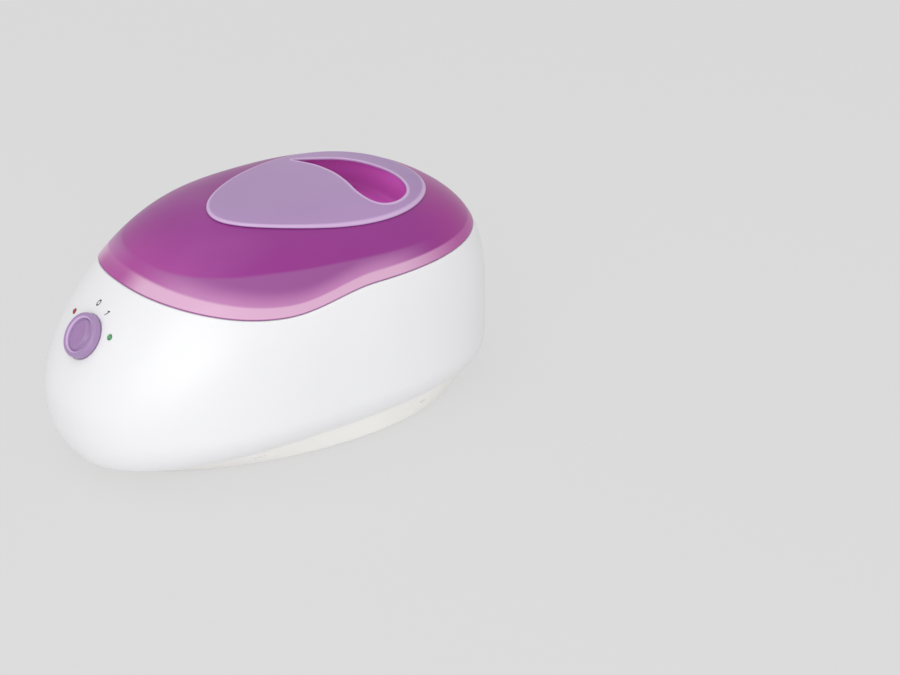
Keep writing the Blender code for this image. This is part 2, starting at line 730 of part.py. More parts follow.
def pan_spot(angle, ring):
    """Point of one of the pan's rings at an angle, on the straight line between its neighbours."""
    whole = 2 * math.pi
    ends = np.append(pan_turns, whole)
    return Vector([np.interp(angle % whole, ends, np.append(ring[:, k], ring[0, k])) for k in range(3)])


for side in (-1, 1):
    for degrees in LATCH_ANGLES:
        angle = side * math.radians(degrees)
        place = pan_spot(angle, mid_outer)
        along = (pan_spot(angle + 0.05, mid_outer) - pan_spot(angle - 0.05, mid_outer)).normalized()
        rise = pan_spot(angle, top_outer) - pan_spot(angle, foot_outer)
        inward = rise.cross(along).normalized()
        frame = Matrix((along, inward, along.cross(inward))).transposed().to_4x4()
        frame.translation = place
        cut(base_pan, block(
            "latch_cut_%d_%d" % (side + 1, degrees), (LATCH_LENGTH, 2 * LATCH_DEPTH, LATCH_HEIGHT), (0, 0, 0),
            PAN_WHITE, frame=frame))

# tank, gasket

gasket_z = DECK_Z + GAP
flange_z = gasket_z + GASKET_HEIGHT + GAP
flange_top = flange_z + TANK_WALL
gasket_in = deck_hole + SEAT_MARGIN
gasket_out = gasket_in + GASKET_WIDTH
gasket_top = gasket_z + GASKET_HEIGHT
loft("tank_gasket", [
    tank_ring(gasket_in, gasket_z), tank_ring(gasket_out, gasket_z),
    tank_ring(gasket_out, gasket_top), tank_ring(gasket_in, gasket_top),
], SILICONE, closed=True)

floor_under = TANK_FLOOR_Z - TANK_WALL
corner_mid = TANK_CORNER * 0.3
rings = [
    tank_ring(-TANK_TAPER - TANK_CORNER, floor_under),
    tank_ring(-TANK_TAPER - corner_mid + TANK_WALL, floor_under + corner_mid),
    tank_ring(-TANK_TAPER + TANK_WALL, TANK_FLOOR_Z + TANK_CORNER),
    tank_ring(TANK_WALL, flange_z - TANK_WALL),
    tank_ring(2 * TANK_WALL, flange_z),
    tank_ring(TANK_FLANGE, flange_z),
    tank_ring(TANK_FLANGE, flange_top),
    tank_ring(2 * TANK_WALL, flange_top),
    tank_ring(0.0, flange_top - 2 * TANK_WALL),
    tank_ring(-TANK_TAPER, TANK_FLOOR_Z + TANK_CORNER),
    tank_ring(-TANK_TAPER - corner_mid, TANK_FLOOR_Z + corner_mid),
    tank_ring(-TANK_TAPER - TANK_CORNER, TANK_FLOOR_Z),
]
wax_tank = loft("wax_tank", rings, ALUMINIUM)

# heater stack, from the tank's floor downwards

plate_top = floor_under - GAP
plate_z = plate_top - PLATE_HEIGHT
element_z = plate_z - GAP - ELEMENT_RADIUS
pad_top = element_z - ELEMENT_RADIUS - GAP
pad_z = pad_top - PAD_HEIGHT
shield_top = pad_z - GAP
shield_z = shield_top - SHIELD_WALL
low_nut_z = shield_z - GAP - NUT_HEIGHT
stud_end = low_nut_z - NUT_HEIGHT / 2
STUDS = (("front", STUD_FRONT_X), ("rear", STUD_REAR_X))
bore = STUD_RADIUS + GAP

for name, x in STUDS:
    root = floor_under + TANK_WALL / 2
    add(wax_tank, rod("stud_form_" + name, STUD_RADIUS, stud_end, root, ALUMINIUM, 12, location=(x, 0, 0)))


def oval(half_length, half_width, x, z, count=40):
    turn = around(count)
    power = 2.0 / TANK_POWER
    c = np.sign(np.cos(turn)) * np.abs(np.cos(turn)) ** power
    s = np.sign(np.sin(turn)) * np.abs(np.sin(turn)) ** power
    return np.stack([x + half_length * c, half_width * s, np.full(count, z)], axis=1)


def plate(name, half_length, half_width, low, high, look):
    outline = oval(half_length, half_width, TANK_X, low)
    made = prism(name, [(x, y) for x, y, z in outline], low, high, look)
    for stud, x in STUDS:
        place = (x, 0, 0)
        cut(made, rod(name + "_cut_" + stud, bore, low - OVERRUN, high + OVERRUN, look, 12, location=place))
    return made


plate("heater_plate", PLATE_HALF_LENGTH, PLATE_HALF_WIDTH, plate_z, plate_top, ALUMINIUM)
plate("insulation_pad", PAD_HALF_LENGTH, PAD_HALF_WIDTH, pad_z, pad_top, MINERAL)
shield_rim_top = shield_top + SHIELD_RIM
rings = [
    oval(SHIELD_HALF_LENGTH - SHIELD_WALL, SHIELD_HALF_WIDTH - SHIELD_WALL, TANK_X, shield_z),
    oval(SHIELD_HALF_LENGTH, SHIELD_HALF_WIDTH, TANK_X, shield_rim_top),
    oval(SHIELD_HALF_LENGTH - SHIELD_WALL, SHIELD_HALF_WIDTH - SHIELD_WALL, TANK_X, shield_rim_top),
    oval(SHIELD_HALF_LENGTH - 2 * SHIELD_WALL, SHIELD_HALF_WIDTH - 2 * SHIELD_WALL, TANK_X, shield_top),
]
heat_shield = loft("heat_shield", rings, STEEL)
for stud, x in STUDS:
    cut(heat_shield, rod(
        "shield_cut_" + stud, bore, shield_z - OVERRUN, shield_top + OVERRUN, STEEL, 12, location=(x, 0, 0)))

bend = ELEMENT_HALF_WIDTH
element_middle = (ELEMENT_FRONT_X + ELEMENT_REAR_X) / 2
route = [(ELEMENT_FRONT_X, -bend, element_z), (element_middle - bend, -bend, element_z),
         (element_middle, -bend, element_z), (ELEMENT_REAR_X - bend, -bend, element_z)]
for degrees in (-60, -30, 0, 30, 60):
    angle = math.radians(degrees)
    route.append((ELEMENT_REAR_X - bend + bend * math.cos(angle), bend * math.sin(angle), element_z))
route += [(ELEMENT_REAR_X - bend, bend, element_z), (element_middle, bend, element_z),
          (element_middle - bend, bend, element_z), (ELEMENT_FRONT_X, bend, element_z)]
tube("heater_element", route, ELEMENT_RADIUS, STEEL, steps=2)

strip_z = plate_z - GAP - STRIP_WALL
for name, x in STUDS:
    high_nut_z = strip_z - GAP - NUT_HEIGHT
    nut("plate_nut_" + name, NUT_FLATS, bore, high_nut_z, NUT_HEIGHT, STEEL, location=(x, 0, 0))
    nut("shield_nut_" + name, NUT_FLATS, bore, low_nut_z, NUT_HEIGHT, STEEL, location=(x, 0, 0))

thermostat_top = floor_under - GAP
thermostat_z = thermostat_top - THERMOSTAT_HEIGHT
turned("thermostat", (
    (0, thermostat_z), (THERMOSTAT_RADIUS * 0.8, thermostat_z),
    (THERMOSTAT_RADIUS, thermostat_z + THERMOSTAT_HEIGHT * 0.3), (THERMOSTAT_RADIUS, thermostat_top),
    (0, thermostat_top)), BLACK, count=24, location=(THERMOSTAT_X, 0, 0))


def strip(name, side_view, look, stud_x):
    """A flat spring: its side view in XZ, extruded across Y, with a hole for the stud."""
    bm = bmesh.new()
    made = [[bm.verts.new((x, y, z)) for x, z in side_view] for y in (-STRIP_WIDTH / 2, STRIP_WIDTH / 2)]
    count = len(side_view)
    for i in range(count):
        j = (i + 1) % count
        bm.faces.new((made[0][i], made[0][j], made[1][j], made[1][i]))
    bm.faces.new(made[0])
    bm.faces.new(made[1])
    piece = finish(name, bm, look)
    place = (stud_x, 0, 0)
    cut(piece, rod(name + "_cut", bore, strip_z - OVERRUN, plate_z + OVERRUN, look, 12, location=place))


seat_z = thermostat_z - GAP
end_x = STUD_FRONT_X + STRIP_WIDTH / 2
bend_x = STUD_FRONT_X - STRIP_WIDTH / 2
reach_x = THERMOSTAT_X + THERMOSTAT_RADIUS
tip_x = THERMOSTAT_X - THERMOSTAT_RADIUS / 2
strip("thermostat_clip", (
    (end_x, strip_z), (end_x, strip_z + STRIP_WALL), (bend_x, strip_z + STRIP_WALL),
    (reach_x, seat_z), (tip_x, seat_z), (tip_x, seat_z - STRIP_WALL), (reach_x, seat_z - STRIP_WALL),
    (bend_x, strip_z)), STEEL, STUD_FRONT_X)
strip_end = FUSE_X + STRIP_WIDTH / 2
strip_root = STUD_REAR_X - STRIP_WIDTH / 2
strip_top = strip_z + STRIP_WALL
fuse_strip = ((strip_root, strip_z), (strip_root, strip_top), (strip_end, strip_top), (strip_end, strip_z))
strip("fuse_clip", fuse_strip, STEEL, STUD_REAR_X)
fuse_z = (strip_top + floor_under) / 2
fuse_frame = Matrix.Translation((FUSE_X, 0, fuse_z)) @ Matrix.Rotation(math.pi / 2, 4, "X")
rod("thermal_fuse", FUSE_RADIUS, -FUSE_LENGTH / 2, FUSE_LENGTH / 2, STEEL, 14, frame=fuse_frame)

# lid

lid_foot = rim + SKIRT_GAP


def dome(inset, share):
    crown = CROWN_Z - inset
    return form(turns, lid_foot + (crown - lid_foot) * share, inset)


outer = [dome(0.0, s) for s in LID_RISE_shares]
inner = [dome(LID_WALL, s) for s in LID_RISE_shares[:4] + LID_RISE_shares[4::2]]
inner[0] = form(turns, lid_foot, LID_WALL)
crown_out = np.array([[CROWN_X, 0, CROWN_Z]])
crown_in = np.array([[CROWN_X, 0, CROWN_Z - LID_WALL]])
lid_shell = loft("lid_shell", [crown_out] + outer[::-1] + inner + [crown_in], MAGENTA)

hole_points = [(HOLE_X + HOLE_WIDTH * a, HOLE_Y + HOLE_LENGTH * b) for a, b in HOLE_shares]
hole = np.array(spline(hole_points, 3, closed=True))


def cup(name, grow, floor, top):
    """Tapered oval solid from a floor up to a top, smaller and rounded at its floor."""
    turn = around(PANEL_AROUND)
    power = 2.0 / WELL_POWER
    c = np.sign(np.cos(turn)) * np.abs(np.cos(turn)) ** power
    s = np.sign(np.sin(turn)) * np.abs(np.sin(turn)) ** power
    rings = []
    for shrink, z in ((2 * WELL_DRAFT, floor), (WELL_DRAFT, floor + WELL_DRAFT), (0.0, top)):
        x = WELL_X + (WELL_HALF_LENGTH + grow - shrink) * c
        y = WELL_Y + (WELL_HALF_WIDTH + grow - shrink) * s
        rings.append(np.stack([x, y, np.full(PANEL_AROUND, z)], axis=1))
    return loft(name, rings, MAGENTA)


well_top = CROWN_Z + OVERRUN
outer_cup = cup("well_wall_form", WELL_WALL, WELL_FLOOR_Z - WELL_WALL, well_top)
envelope = loft("lid_envelope", [np.array([[CROWN_X, 0, CROWN_Z - LID_WALL / 2]])]
                + [dome(LID_WALL / 2, s) for s in LID_RISE_shares][::-1]
                + [np.array([[CROWN_X, 0, RIM_Z - DROOP]])], MAGENTA)
combine(outer_cup, envelope, "INTERSECT")
add(lid_shell, outer_cup)
cut(lid_shell, cup("well_cut", 0.0, WELL_FLOOR_Z, well_top))

# handle panel: an egg-shaped plate over the crown with a finger hole

panel_turns = around(PANEL_AROUND)


def panel_ring(shrink, rise, share=1.0):
    """Ring of the panel: shrunk by a length, scaled by a share, at a rise above the lid."""
    c = np.cos(panel_turns)
    s = np.sin(panel_turns)
    long = (PANEL_HALF_LENGTH - shrink) * share
    wide = (PANEL_HALF_WIDTH - shrink) * share
    x = PANEL_X + long * c
    y = PANEL_Y + wide * s * (1.0 + PANEL_EGG_share * c) + PANEL_SKEW_share * long * c
    return np.stack([x, y, lid_height(x, y) + rise], axis=1)


def panel_spot(rise):
    x = np.array([PANEL_X])
    y = np.array([PANEL_Y])
    return np.array([[PANEL_X, PANEL_Y, float(lid_height(x, y)[0]) + rise]])


rest = PANEL_REST
crest = PANEL_RISE + PANEL_BEAD
rings = [panel_spot(rest)]
for share in (0.27, 0.52, 0.75):
    rings.append(panel_ring(0.0, rest, share))
rings.append(panel_ring(PANEL_EDGE, rest, 0.93))
rings.append(panel_ring(0.0, rest + PANEL_BEAD))
rings.append(panel_ring(0.0, PANEL_RISE * 0.6))
rings.append(panel_ring(PANEL_EDGE, crest))
rings.append(panel_ring(2 * PANEL_EDGE, crest))
rings.append(panel_ring(3 * PANEL_EDGE, PANEL_RISE))
for share in (0.8, 0.55, 0.28):
    rings.append(panel_ring(0.0, PANEL_RISE, share))
rings.append(panel_spot(PANEL_RISE))
lid_handle = loft("lid_handle", rings, LILAC)
hole_outline = [tuple(p) for p in hole]
cut(lid_handle, prism("finger_hole_cut", hole_outline, WELL_FLOOR_Z, CROWN_Z + 2 * OVERRUN, LILAC))

for index, (a, b) in enumerate(PEG_PLACES_shares):
    x = PANEL_X + PANEL_HALF_LENGTH * a
    y = PANEL_Y + PANEL_HALF_WIDTH * b
    top = float(lid_height(np.array([x]), np.array([y]))[0])
    under = float(lid_height(np.array([x]), np.array([y]), LID_WALL)[0])
    lean = abs(float((lid_height(np.array([x]), np.array([y + PEG_HEAD]))
                      - lid_height(np.array([x]), np.array([y - PEG_HEAD])))[0])) / 2
    head_top = under - lean - GAP
    screw_end = head_top + PEG_SCREW_DEPTH
    name = ("front", "left", "right")[index]
    place = (x, y, 0)
    room = PEG_RADIUS + PEG_GAP
    cut(lid_shell, rod(
        "peg_hole_cut_" + name, room, under - OVERRUN, top + OVERRUN, MAGENTA, 16, location=place))
    add(lid_handle, rod(
        "peg_form_" + name, PEG_RADIUS, head_top + GAP, top + PANEL_RISE / 2, LILAC, 16, location=place))
    cut(lid_handle, rod(
        "peg_pilot_cut_" + name, PEG_SCREW + GAP, head_top - OVERRUN, screw_end, LILAC, 12, location=place))
    turned("handle_screw_" + name, (
        (0, head_top - PEG_HEAD_HEIGHT), (PEG_HEAD * 0.8, head_top - PEG_HEAD_HEIGHT), (PEG_HEAD, head_top),
        (PEG_SCREW, head_top), (PEG_SCREW, screw_end - GAP * 2), (0, screw_end - GAP)),
        STEEL, count=16, location=place)

# rotary switch: body with threaded collar, nut, shaft, knob

switch_top = -BOSS_DEPTH - GAP
shaft_room = SHAFT_RADIUS + GAP
switch_body = block(
    "switch_body", (SWITCH_WIDTH, SWITCH_HEIGHT, SWITCH_LENGTH), (0, 0, switch_top - SWITCH_LENGTH / 2), CREAM,
    frame=knob_frame, bevel=BLOCK_BEVEL)
shaft_root = switch_top - SHAFT_ROOT
collar_root = switch_top - BOSS_ROOT
collar_end = COLLAR_TOP + OVERRUN
add(switch_body, rod("collar_form", COLLAR_RADIUS, collar_root, COLLAR_TOP, CREAM, frame=knob_frame))
cut(switch_body, rod("shaft_hole_cut", shaft_room, shaft_root, collar_end, CREAM, 20, frame=knob_frame))
bottom = -SEAT_DEPTH + GAP
nut("switch_nut", COLLAR_NUT_FLATS, COLLAR_RADIUS + GAP, bottom, COLLAR_NUT_HEIGHT, STEEL, frame=knob_frame)
rod("switch_shaft", SHAFT_RADIUS, shaft_root + GAP, SHAFT_TOP, STEEL, 20, frame=knob_frame)
rim_in = KNOB_RADIUS - KNOB_RIM
knob = turned("control_knob", (
    (shaft_room, SHAFT_TOP + GAP), (shaft_room, HUB_CAVITY_TOP), (HUB_CAVITY, HUB_CAVITY_TOP),
    (HUB_CAVITY, bottom), (KNOB_RADIUS - KNOB_FOOT, bottom), (KNOB_RADIUS, bottom + KNOB_FOOT),
    (KNOB_RADIUS, KNOB_HEIGHT - KNOB_RIM * 0.6), (KNOB_RADIUS - KNOB_RIM * 0.2, KNOB_HEIGHT - KNOB_RIM * 0.2),
    (KNOB_RADIUS - KNOB_RIM * 0.55, KNOB_HEIGHT), (rim_in + KNOB_RIM * 0.1, KNOB_HEIGHT - KNOB_DISH * 0.4),
    (rim_in - KNOB_RIM * 0.3, KNOB_HEIGHT - KNOB_DISH), (rim_in / 2, KNOB_HEIGHT - KNOB_DISH * 0.6),
    (0, KNOB_HEIGHT - KNOB_DISH / 2)),
    LILAC, count=36, frame=knob_frame)
lens_radius = (GRIP_LENGTH ** 2 + GRIP_WIDTH ** 2) / (4 * GRIP_WIDTH)


def lens_ring(z, count):
    """Outline of the grip between two arcs, its points up the slope."""
    turn = np.arange(count) * 2 * math.pi / count + TURN_PHASE
    y = GRIP_LENGTH / 2 * np.sin(turn)
    x = np.sqrt(lens_radius ** 2 - y ** 2) - (lens_radius - GRIP_WIDTH / 2)
    return np.stack([np.sign(np.cos(turn)) * x, y, np.full(count, z)], axis=1)


groove_floor = KNOB_HEIGHT - KNOB_DISH - GRIP_DEPTH
groove_top = KNOB_HEIGHT + OVERRUN
cut(knob, loft("groove_cut", [
    circle(GROOVE_RADIUS, groove_floor, 36), circle(GROOVE_RADIUS, groove_top, 36),
    lens_ring(groove_top, 36), lens_ring(groove_floor, 36)], LILAC, closed=True, frame=knob_frame))

# pilot lamps

for name, frame, look in (("red", red_frame, RED), ("green", green_frame, GREEN)):
    flange = -SHELL_WALL - LAMP_SEAT - GAP
    turned(name + "_lamp_lens", (
        (0, flange - LAMP_FLANGE_HEIGHT), (LAMP_FLANGE, flange - LAMP_FLANGE_HEIGHT), (LAMP_FLANGE, flange),
        (LAMP_RADIUS, flange), (LAMP_RADIUS, 0), (LAMP_RADIUS * 0.7, LAMP_DOME * 0.7), (0, LAMP_DOME)),
        look, count=16, frame=frame)
    top = flange - LAMP_FLANGE_HEIGHT - GAP
    rod(name + "_lamp_holder", HOLDER_RADIUS, top - HOLDER_LENGTH, top, BLACK, 14, frame=frame)

# cord outlet

nut_top = pad_back - GAP
gland_seat = -GLAND_SINK + GAP
gland_end = nut_top - GLAND_TAIL
gland_top = gland_seat + GLAND_FLANGE_HEIGHT
turned("cord_gland", (
    (GLAND_RADIUS, gland_end), (GLAND_RADIUS, gland_seat), (GLAND_FLANGE, gland_seat),
    (GLAND_FLANGE, gland_top - GLAND_ROUND), (GLAND_FLANGE - GLAND_ROUND, gland_top),
    (GLAND_BORE, gland_top), (GLAND_BORE, gland_end)),
    WHITE, count=24, closed=True, frame=gland_frame)
nut("gland_nut", GLAND_NUT_FLATS, GLAND_RADIUS + GAP, nut_top - GLAND_NUT_HEIGHT, GLAND_NUT_HEIGHT, BLACK,
    frame=gland_frame)

# terminal block

block("terminal_block", (BLOCK_LENGTH, BLOCK_WIDTH, BLOCK_HEIGHT),
      (BLOCK_X, BLOCK_Y, floor_top + GAP + BLOCK_HEIGHT / 2), CREAM, bevel=BLOCK_BEVEL)

# leads

block_face = BLOCK_X - BLOCK_LENGTH / 2 - GAP
block_mid = floor_top + GAP + BLOCK_HEIGHT / 2
run_z = floor_top + LEAD_PITCH
switch_back = switch_top - SWITCH_LENGTH - GAP


def seen(frame, x, y, z):
    """World point of a place in a frame."""
    return tuple(frame @ Vector((x, y, z)))


for name, side, slot, look in (
        ("lead_switch_live", -1, LEAD_PITCH / 2, LEAD_BROWN),
        ("lead_switch_return", 1, LEAD_PITCH * 1.5, LEAD_BLUE)):
    across = -side * LEAD_PITCH
    y = side * LEAD_PITCH
    tube(name, [
        seen(knob_frame, across, 0, switch_back), seen(knob_frame, across, 0, switch_back - LEAD_PLUG),
        (-0.122, y, 0.078), (-0.117, y, 0.048), (-0.114, y, 0.022), (-0.096, y, run_z),
        (-0.030, side * 0.007, run_z), (0.060, side * 0.006, run_z), (block_face - LEAD_PLUG, slot, block_mid),
        (block_face, slot, block_mid)], LEAD_RADIUS, look, steps=2)

element_end = ELEMENT_FRONT_X - GAP
sensor_z = (thermostat_z + thermostat_top) / 2
side_y = THERMOSTAT_RADIUS + GAP
tube("lead_heater_return", [
    (element_end, -bend, element_z), (element_end - LEAD_PLUG, -bend, element_z),
    (-0.063, -bend, 0.0403), (-0.071, -bend, 0.0385), (-0.077, -0.029, 0.028), (-0.074, -0.026, 0.014),
    (-0.060, -0.026, run_z), (0.050, -0.022, run_z), (block_face - LEAD_PLUG, -LEAD_PITCH * 1.5, block_mid),
    (block_face, -LEAD_PITCH * 1.5, block_mid)], LEAD_RADIUS, LEAD_BLUE, steps=2)
tube("lead_heater_thermostat", [
    (element_end, bend, element_z), (element_end - LEAD_PLUG, bend, element_z),
    (-0.062, 0.024, 0.0378), (THERMOSTAT_X, side_y + LEAD_PLUG * 2, sensor_z),
    (THERMOSTAT_X, side_y, sensor_z)], LEAD_RADIUS, LEAD_BROWN, steps=3)
tube("lead_thermostat", [
    (THERMOSTAT_X, -side_y, sensor_z), (THERMOSTAT_X, -side_y - LEAD_PLUG, sensor_z),
    (-0.072, -0.0165, 0.0402), (-0.080, -0.0175, 0.0375), (-0.084, -0.017, 0.026), (-0.078, -0.016, 0.013),
    (-0.060, -0.016, run_z), (0.050, -0.014, run_z),
    (block_face - LEAD_PLUG, -LEAD_PITCH / 2, block_mid), (block_face, -LEAD_PITCH / 2, block_mid)],
    LEAD_RADIUS, LEAD_BROWN, steps=2)
fuse_end = FUSE_LENGTH / 2 + GAP
block_top = floor_top + GAP + BLOCK_HEIGHT + GAP
tube("lead_fuse", [
    (FUSE_X, fuse_end, fuse_z), (FUSE_X, fuse_end + LEAD_PLUG, fuse_z), (0.098, 0.0145, fuse_z),
    (0.107, 0.0165, fuse_z), (0.115, 0.016, 0.036), (0.1175, 0.012, 0.027),
    (BLOCK_X, LEAD_PITCH, block_top + LEAD_PLUG), (BLOCK_X, LEAD_PITCH, block_top)],
    LEAD_RADIUS, LEAD_BROWN, steps=2)
holder_end = -SHELL_WALL - LAMP_SEAT - 3 * GAP - LAMP_FLANGE_HEIGHT - HOLDER_LENGTH
for name, frame, side in (("lead_red_lamp", red_frame, -1), ("lead_green_lamp", green_frame, 1)):
    tube(name, [
        seen(frame, 0, 0, holder_end), seen(frame, 0, 0, holder_end - LEAD_PLUG),
        seen(knob_frame, side * (SWITCH_WIDTH / 2 + LEAD_PLUG * 2), 0, switch_top - SWITCH_LENGTH * 0.75),
        seen(knob_frame, side * (SWITCH_WIDTH / 2 + LEAD_PLUG), 0, switch_top - SWITCH_LENGTH * 0.7),
        seen(knob_frame, side * (SWITCH_WIDTH / 2 + GAP), 0, switch_top - SWITCH_LENGTH * 0.7)],
        LEAD_RADIUS, LEAD_BLUE, steps=4)
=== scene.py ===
"""Looks of the paraffin bath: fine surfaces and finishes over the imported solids, studio and camera.

Metres, +Z up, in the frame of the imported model. Every surface is a grid of points: rings round the bath
or round a piece's own axis, worked out as whole arrays from the same form as the solids.
"""
import math
import bpy
import numpy as np
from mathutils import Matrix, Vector


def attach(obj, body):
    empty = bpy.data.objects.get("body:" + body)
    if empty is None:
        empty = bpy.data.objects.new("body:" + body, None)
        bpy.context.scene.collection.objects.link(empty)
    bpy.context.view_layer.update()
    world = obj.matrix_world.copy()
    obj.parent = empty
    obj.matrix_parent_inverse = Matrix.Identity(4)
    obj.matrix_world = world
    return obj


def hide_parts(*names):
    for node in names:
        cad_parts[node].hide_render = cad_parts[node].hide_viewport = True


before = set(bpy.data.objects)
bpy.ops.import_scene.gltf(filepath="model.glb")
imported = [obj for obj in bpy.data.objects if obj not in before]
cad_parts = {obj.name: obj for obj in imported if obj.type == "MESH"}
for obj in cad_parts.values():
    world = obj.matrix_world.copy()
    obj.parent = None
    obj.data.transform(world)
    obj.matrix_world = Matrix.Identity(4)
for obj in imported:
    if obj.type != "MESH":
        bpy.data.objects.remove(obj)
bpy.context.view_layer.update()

MM = 0.001

# the outer form, shared by shell and lid; the fine surfaces lie a hair inside the solids
SKIN = 0.1 * MM
EGG_POWER = 2.3
HALF_LENGTH, HALF_WIDTH, CROWN_Z, CROWN_X = 190 * MM, 110 * MM, 190 * MM, -50 * MM
FRONT_WAIST, REAR_WAIST, SIDE_WAIST = 59 * MM, 40 * MM, 46 * MM
FRONT_TUCK, REAR_TUCK, SIDE_TUCK = 90 * MM, 78 * MM, 56 * MM
RIM_Z, DECK_Z = 142.6 * MM, 128 * MM
LIP_OUT, LIP_IN, WALL, SKIRT_GAP = 3.0 * MM, 5.4 * MM, 2.6 * MM, 0.4 * MM


# shapes

def bulge(share, power):
    """Quarter of a superellipse: 1 at share 0, falling to 0 at share 1."""
    return (1 - np.clip(share, 0, 1) ** power) ** (1 / power)


def profile(z, inset=0.0):
    """Front end, rear end and half width at a height: a dome above the waist, a tuck below it."""
    z = np.asarray(z, float)
    crown, half, wide = CROWN_Z - inset, HALF_LENGTH - inset, HALF_WIDTH - inset

    def up(waist):
        return (z - waist) / (crown - waist)

    front = np.where(z > FRONT_WAIST, CROWN_X - (half + CROWN_X) * bulge(up(FRONT_WAIST), 1.55),
                     -half * bulge((FRONT_WAIST - z) / FRONT_TUCK, 2.7))
    rear = np.where(z > REAR_WAIST, CROWN_X + (half - CROWN_X) * bulge(up(REAR_WAIST), 4.1),
                    half * bulge((REAR_WAIST - z) / REAR_TUCK, 2.3))
    side = np.where(z > SIDE_WAIST, wide * bulge(up(SIDE_WAIST), 3.6),
                    wide * bulge((SIDE_WAIST - z) / SIDE_TUCK, 1.85))
    return front, rear, side


def swell(c):
    """How much wider the egg is at a share of its length, -1 at the front end and 1 at the rear."""
    return 1 + 0.02 * c + 0.076 * c * c


def form(turn, z, inset=0.0):
    """Point of the outer form at an angle round it and a height: a superellipse, wider by the swell."""
    front, rear, side = profile(z, inset)
    c, s = np.cos(turn), np.sin(turn)
    c, s = np.sign(c) * np.abs(c) ** (2 / EGG_POWER), np.sign(s) * np.abs(s) ** (2 / EGG_POWER)
    x = (front + rear) / 2 + (rear - front) / 2 * c
    return np.stack(np.broadcast_arrays(x, side * s * swell(c), z), axis=-1)


def rim_height(turn):
    """Parting line: a tilt, a little cupping and a cosine droop on each side."""
    z = np.full(np.shape(turn), RIM_Z)
    for _ in range(4):
        x = form(turn, z)[..., 0] + 49 * MM
        share = np.clip(x / np.where(x < 0, 117 * MM, 84 * MM), -1, 1)
        z = (RIM_Z - 4.7 * MM * np.cos(turn) + 2.5 * MM * np.cos(2 * turn)
             - 5.15 * MM * (1 + np.cos(math.pi * share)))
    return z


def turn_at(points):
    """Angle round the form of points on it, the reverse of form."""
    front, rear, side = profile(points[:, 2])
    c = (points[:, 0] - (front + rear) / 2) / np.maximum((rear - front) / 2, MM)
    c = np.clip(np.sign(c) * np.abs(c) ** (EGG_POWER / 2), -1, 1)
    return np.where(points[:, 1] < 0, -1, 1) * np.arccos(c)


def lid_height(x, y, inset=0.0):
    """Height of the form above points of the plan, by halving."""
    low, high = np.full(np.shape(x), SIDE_WAIST), np.full(np.shape(x), CROWN_Z - inset)
    for _ in range(32):
        z = (low + high) / 2
        front, rear, side = profile(z, inset)
        c = (x - (front + rear) / 2) / np.maximum((rear - front) / 2, 0.3 * MM)
        wide = np.maximum(side * swell(c), 0.3 * MM)
        inside = np.abs(c) ** EGG_POWER + np.abs(y / wide) ** EGG_POWER < 1
        low, high = np.where(inside, z, low), np.where(inside, high, z)
    return low


def turns(count):
    """Evenly spaced angles of one full turn."""
    return np.arange(int(count)) * 2 * math.pi / int(count)


def oval(turn, x, y, half_length, half_width, power, z):
    """Superellipse ring round a centre."""
    c, s = np.cos(turn), np.sin(turn)
    return np.stack([x + half_length * np.sign(c) * np.abs(c) ** (2 / power),
                     y + half_width * np.sign(s) * np.abs(s) ** (2 / power), np.full(len(turn), z)], axis=1)


def soften(rings, sizes, steps=5):
    """Round a profile of rings: each ring with a size becomes a quadratic bend that starts and ends
    that far from it, towards its neighbours, and at most half the way to them."""
    rings = [np.asarray(ring, float) for ring in rings]
    made = []
    for k, (here, size) in enumerate(zip(rings, sizes)):
        if not size:
            made.append(here)
            continue
        ways = [rings[k - 1] - here, rings[(k + 1) % len(rings)] - here]
        first, last = (here + way * np.minimum(size / np.maximum(
            np.linalg.norm(way, axis=-1, keepdims=True), 1e-9), 0.48) for way in ways)
        made += [(1 - s) ** 2 * first + 2 * s * (1 - s) * here + s * s * last
                 for s in np.linspace(0, 1, steps)]
    return made


def skin(rings, wrap=False, start=None, end=None):
    """Four-sided faces between rings, each ring closed on itself. wrap joins the last ring to the
    first; start and end are points that close an end with a fan. The faces are turned outwards,
    which holds when the signed volume of the closed skin is positive."""
    rings = np.stack(rings)
    rows, count = rings.shape[:2]
    points = rings.reshape(-1, 3)
    i, j = np.arange(rows if wrap else rows - 1)[:, None], np.arange(count)[None, :]
    up, on = (i + 1) % rows * count, (j + 1) % count
    groups = [np.stack([i * count + j, i * count + on, up + on, up + j], axis=-1).reshape(-1, 4)]
    for tip, row in ((start, 0), (end, rows - 1)):
        if tip is not None:
            points = np.vstack([points, [tip]])
            j = np.arange(count)
            fan = np.stack([row * count + j, row * count + (j + 1) % count,
                            np.full(count, len(points) - 1)], axis=1)
            groups.append(fan if row else fan[:, ::-1])
    volume = sum(np.einsum("ij,ij->", points[g[:, 0]], np.cross(points[g[:, k]], points[g[:, k + 1]]))
                 for g in groups for k in range(1, g.shape[1] - 1))
    return points, [g if volume > 0 else g[:, ::-1] for g in groups]


def mesh_of(name, skins):
    """Put closed skins into one mesh."""
    points, faces, base = [], [], 0
    for spots, groups in skins:
        points.append(spots)
        faces += [face for g in groups for face in (g + base).tolist()]
        base += len(spots)
    mesh = bpy.data.meshes.new(name)
    mesh.from_pydata(np.vstack(points).tolist(), [], faces)
    mesh.update()
    return mesh


def show(name, mesh):
    made = bpy.data.objects.new(name, mesh)
    bpy.context.scene.collection.objects.link(made)
    return made


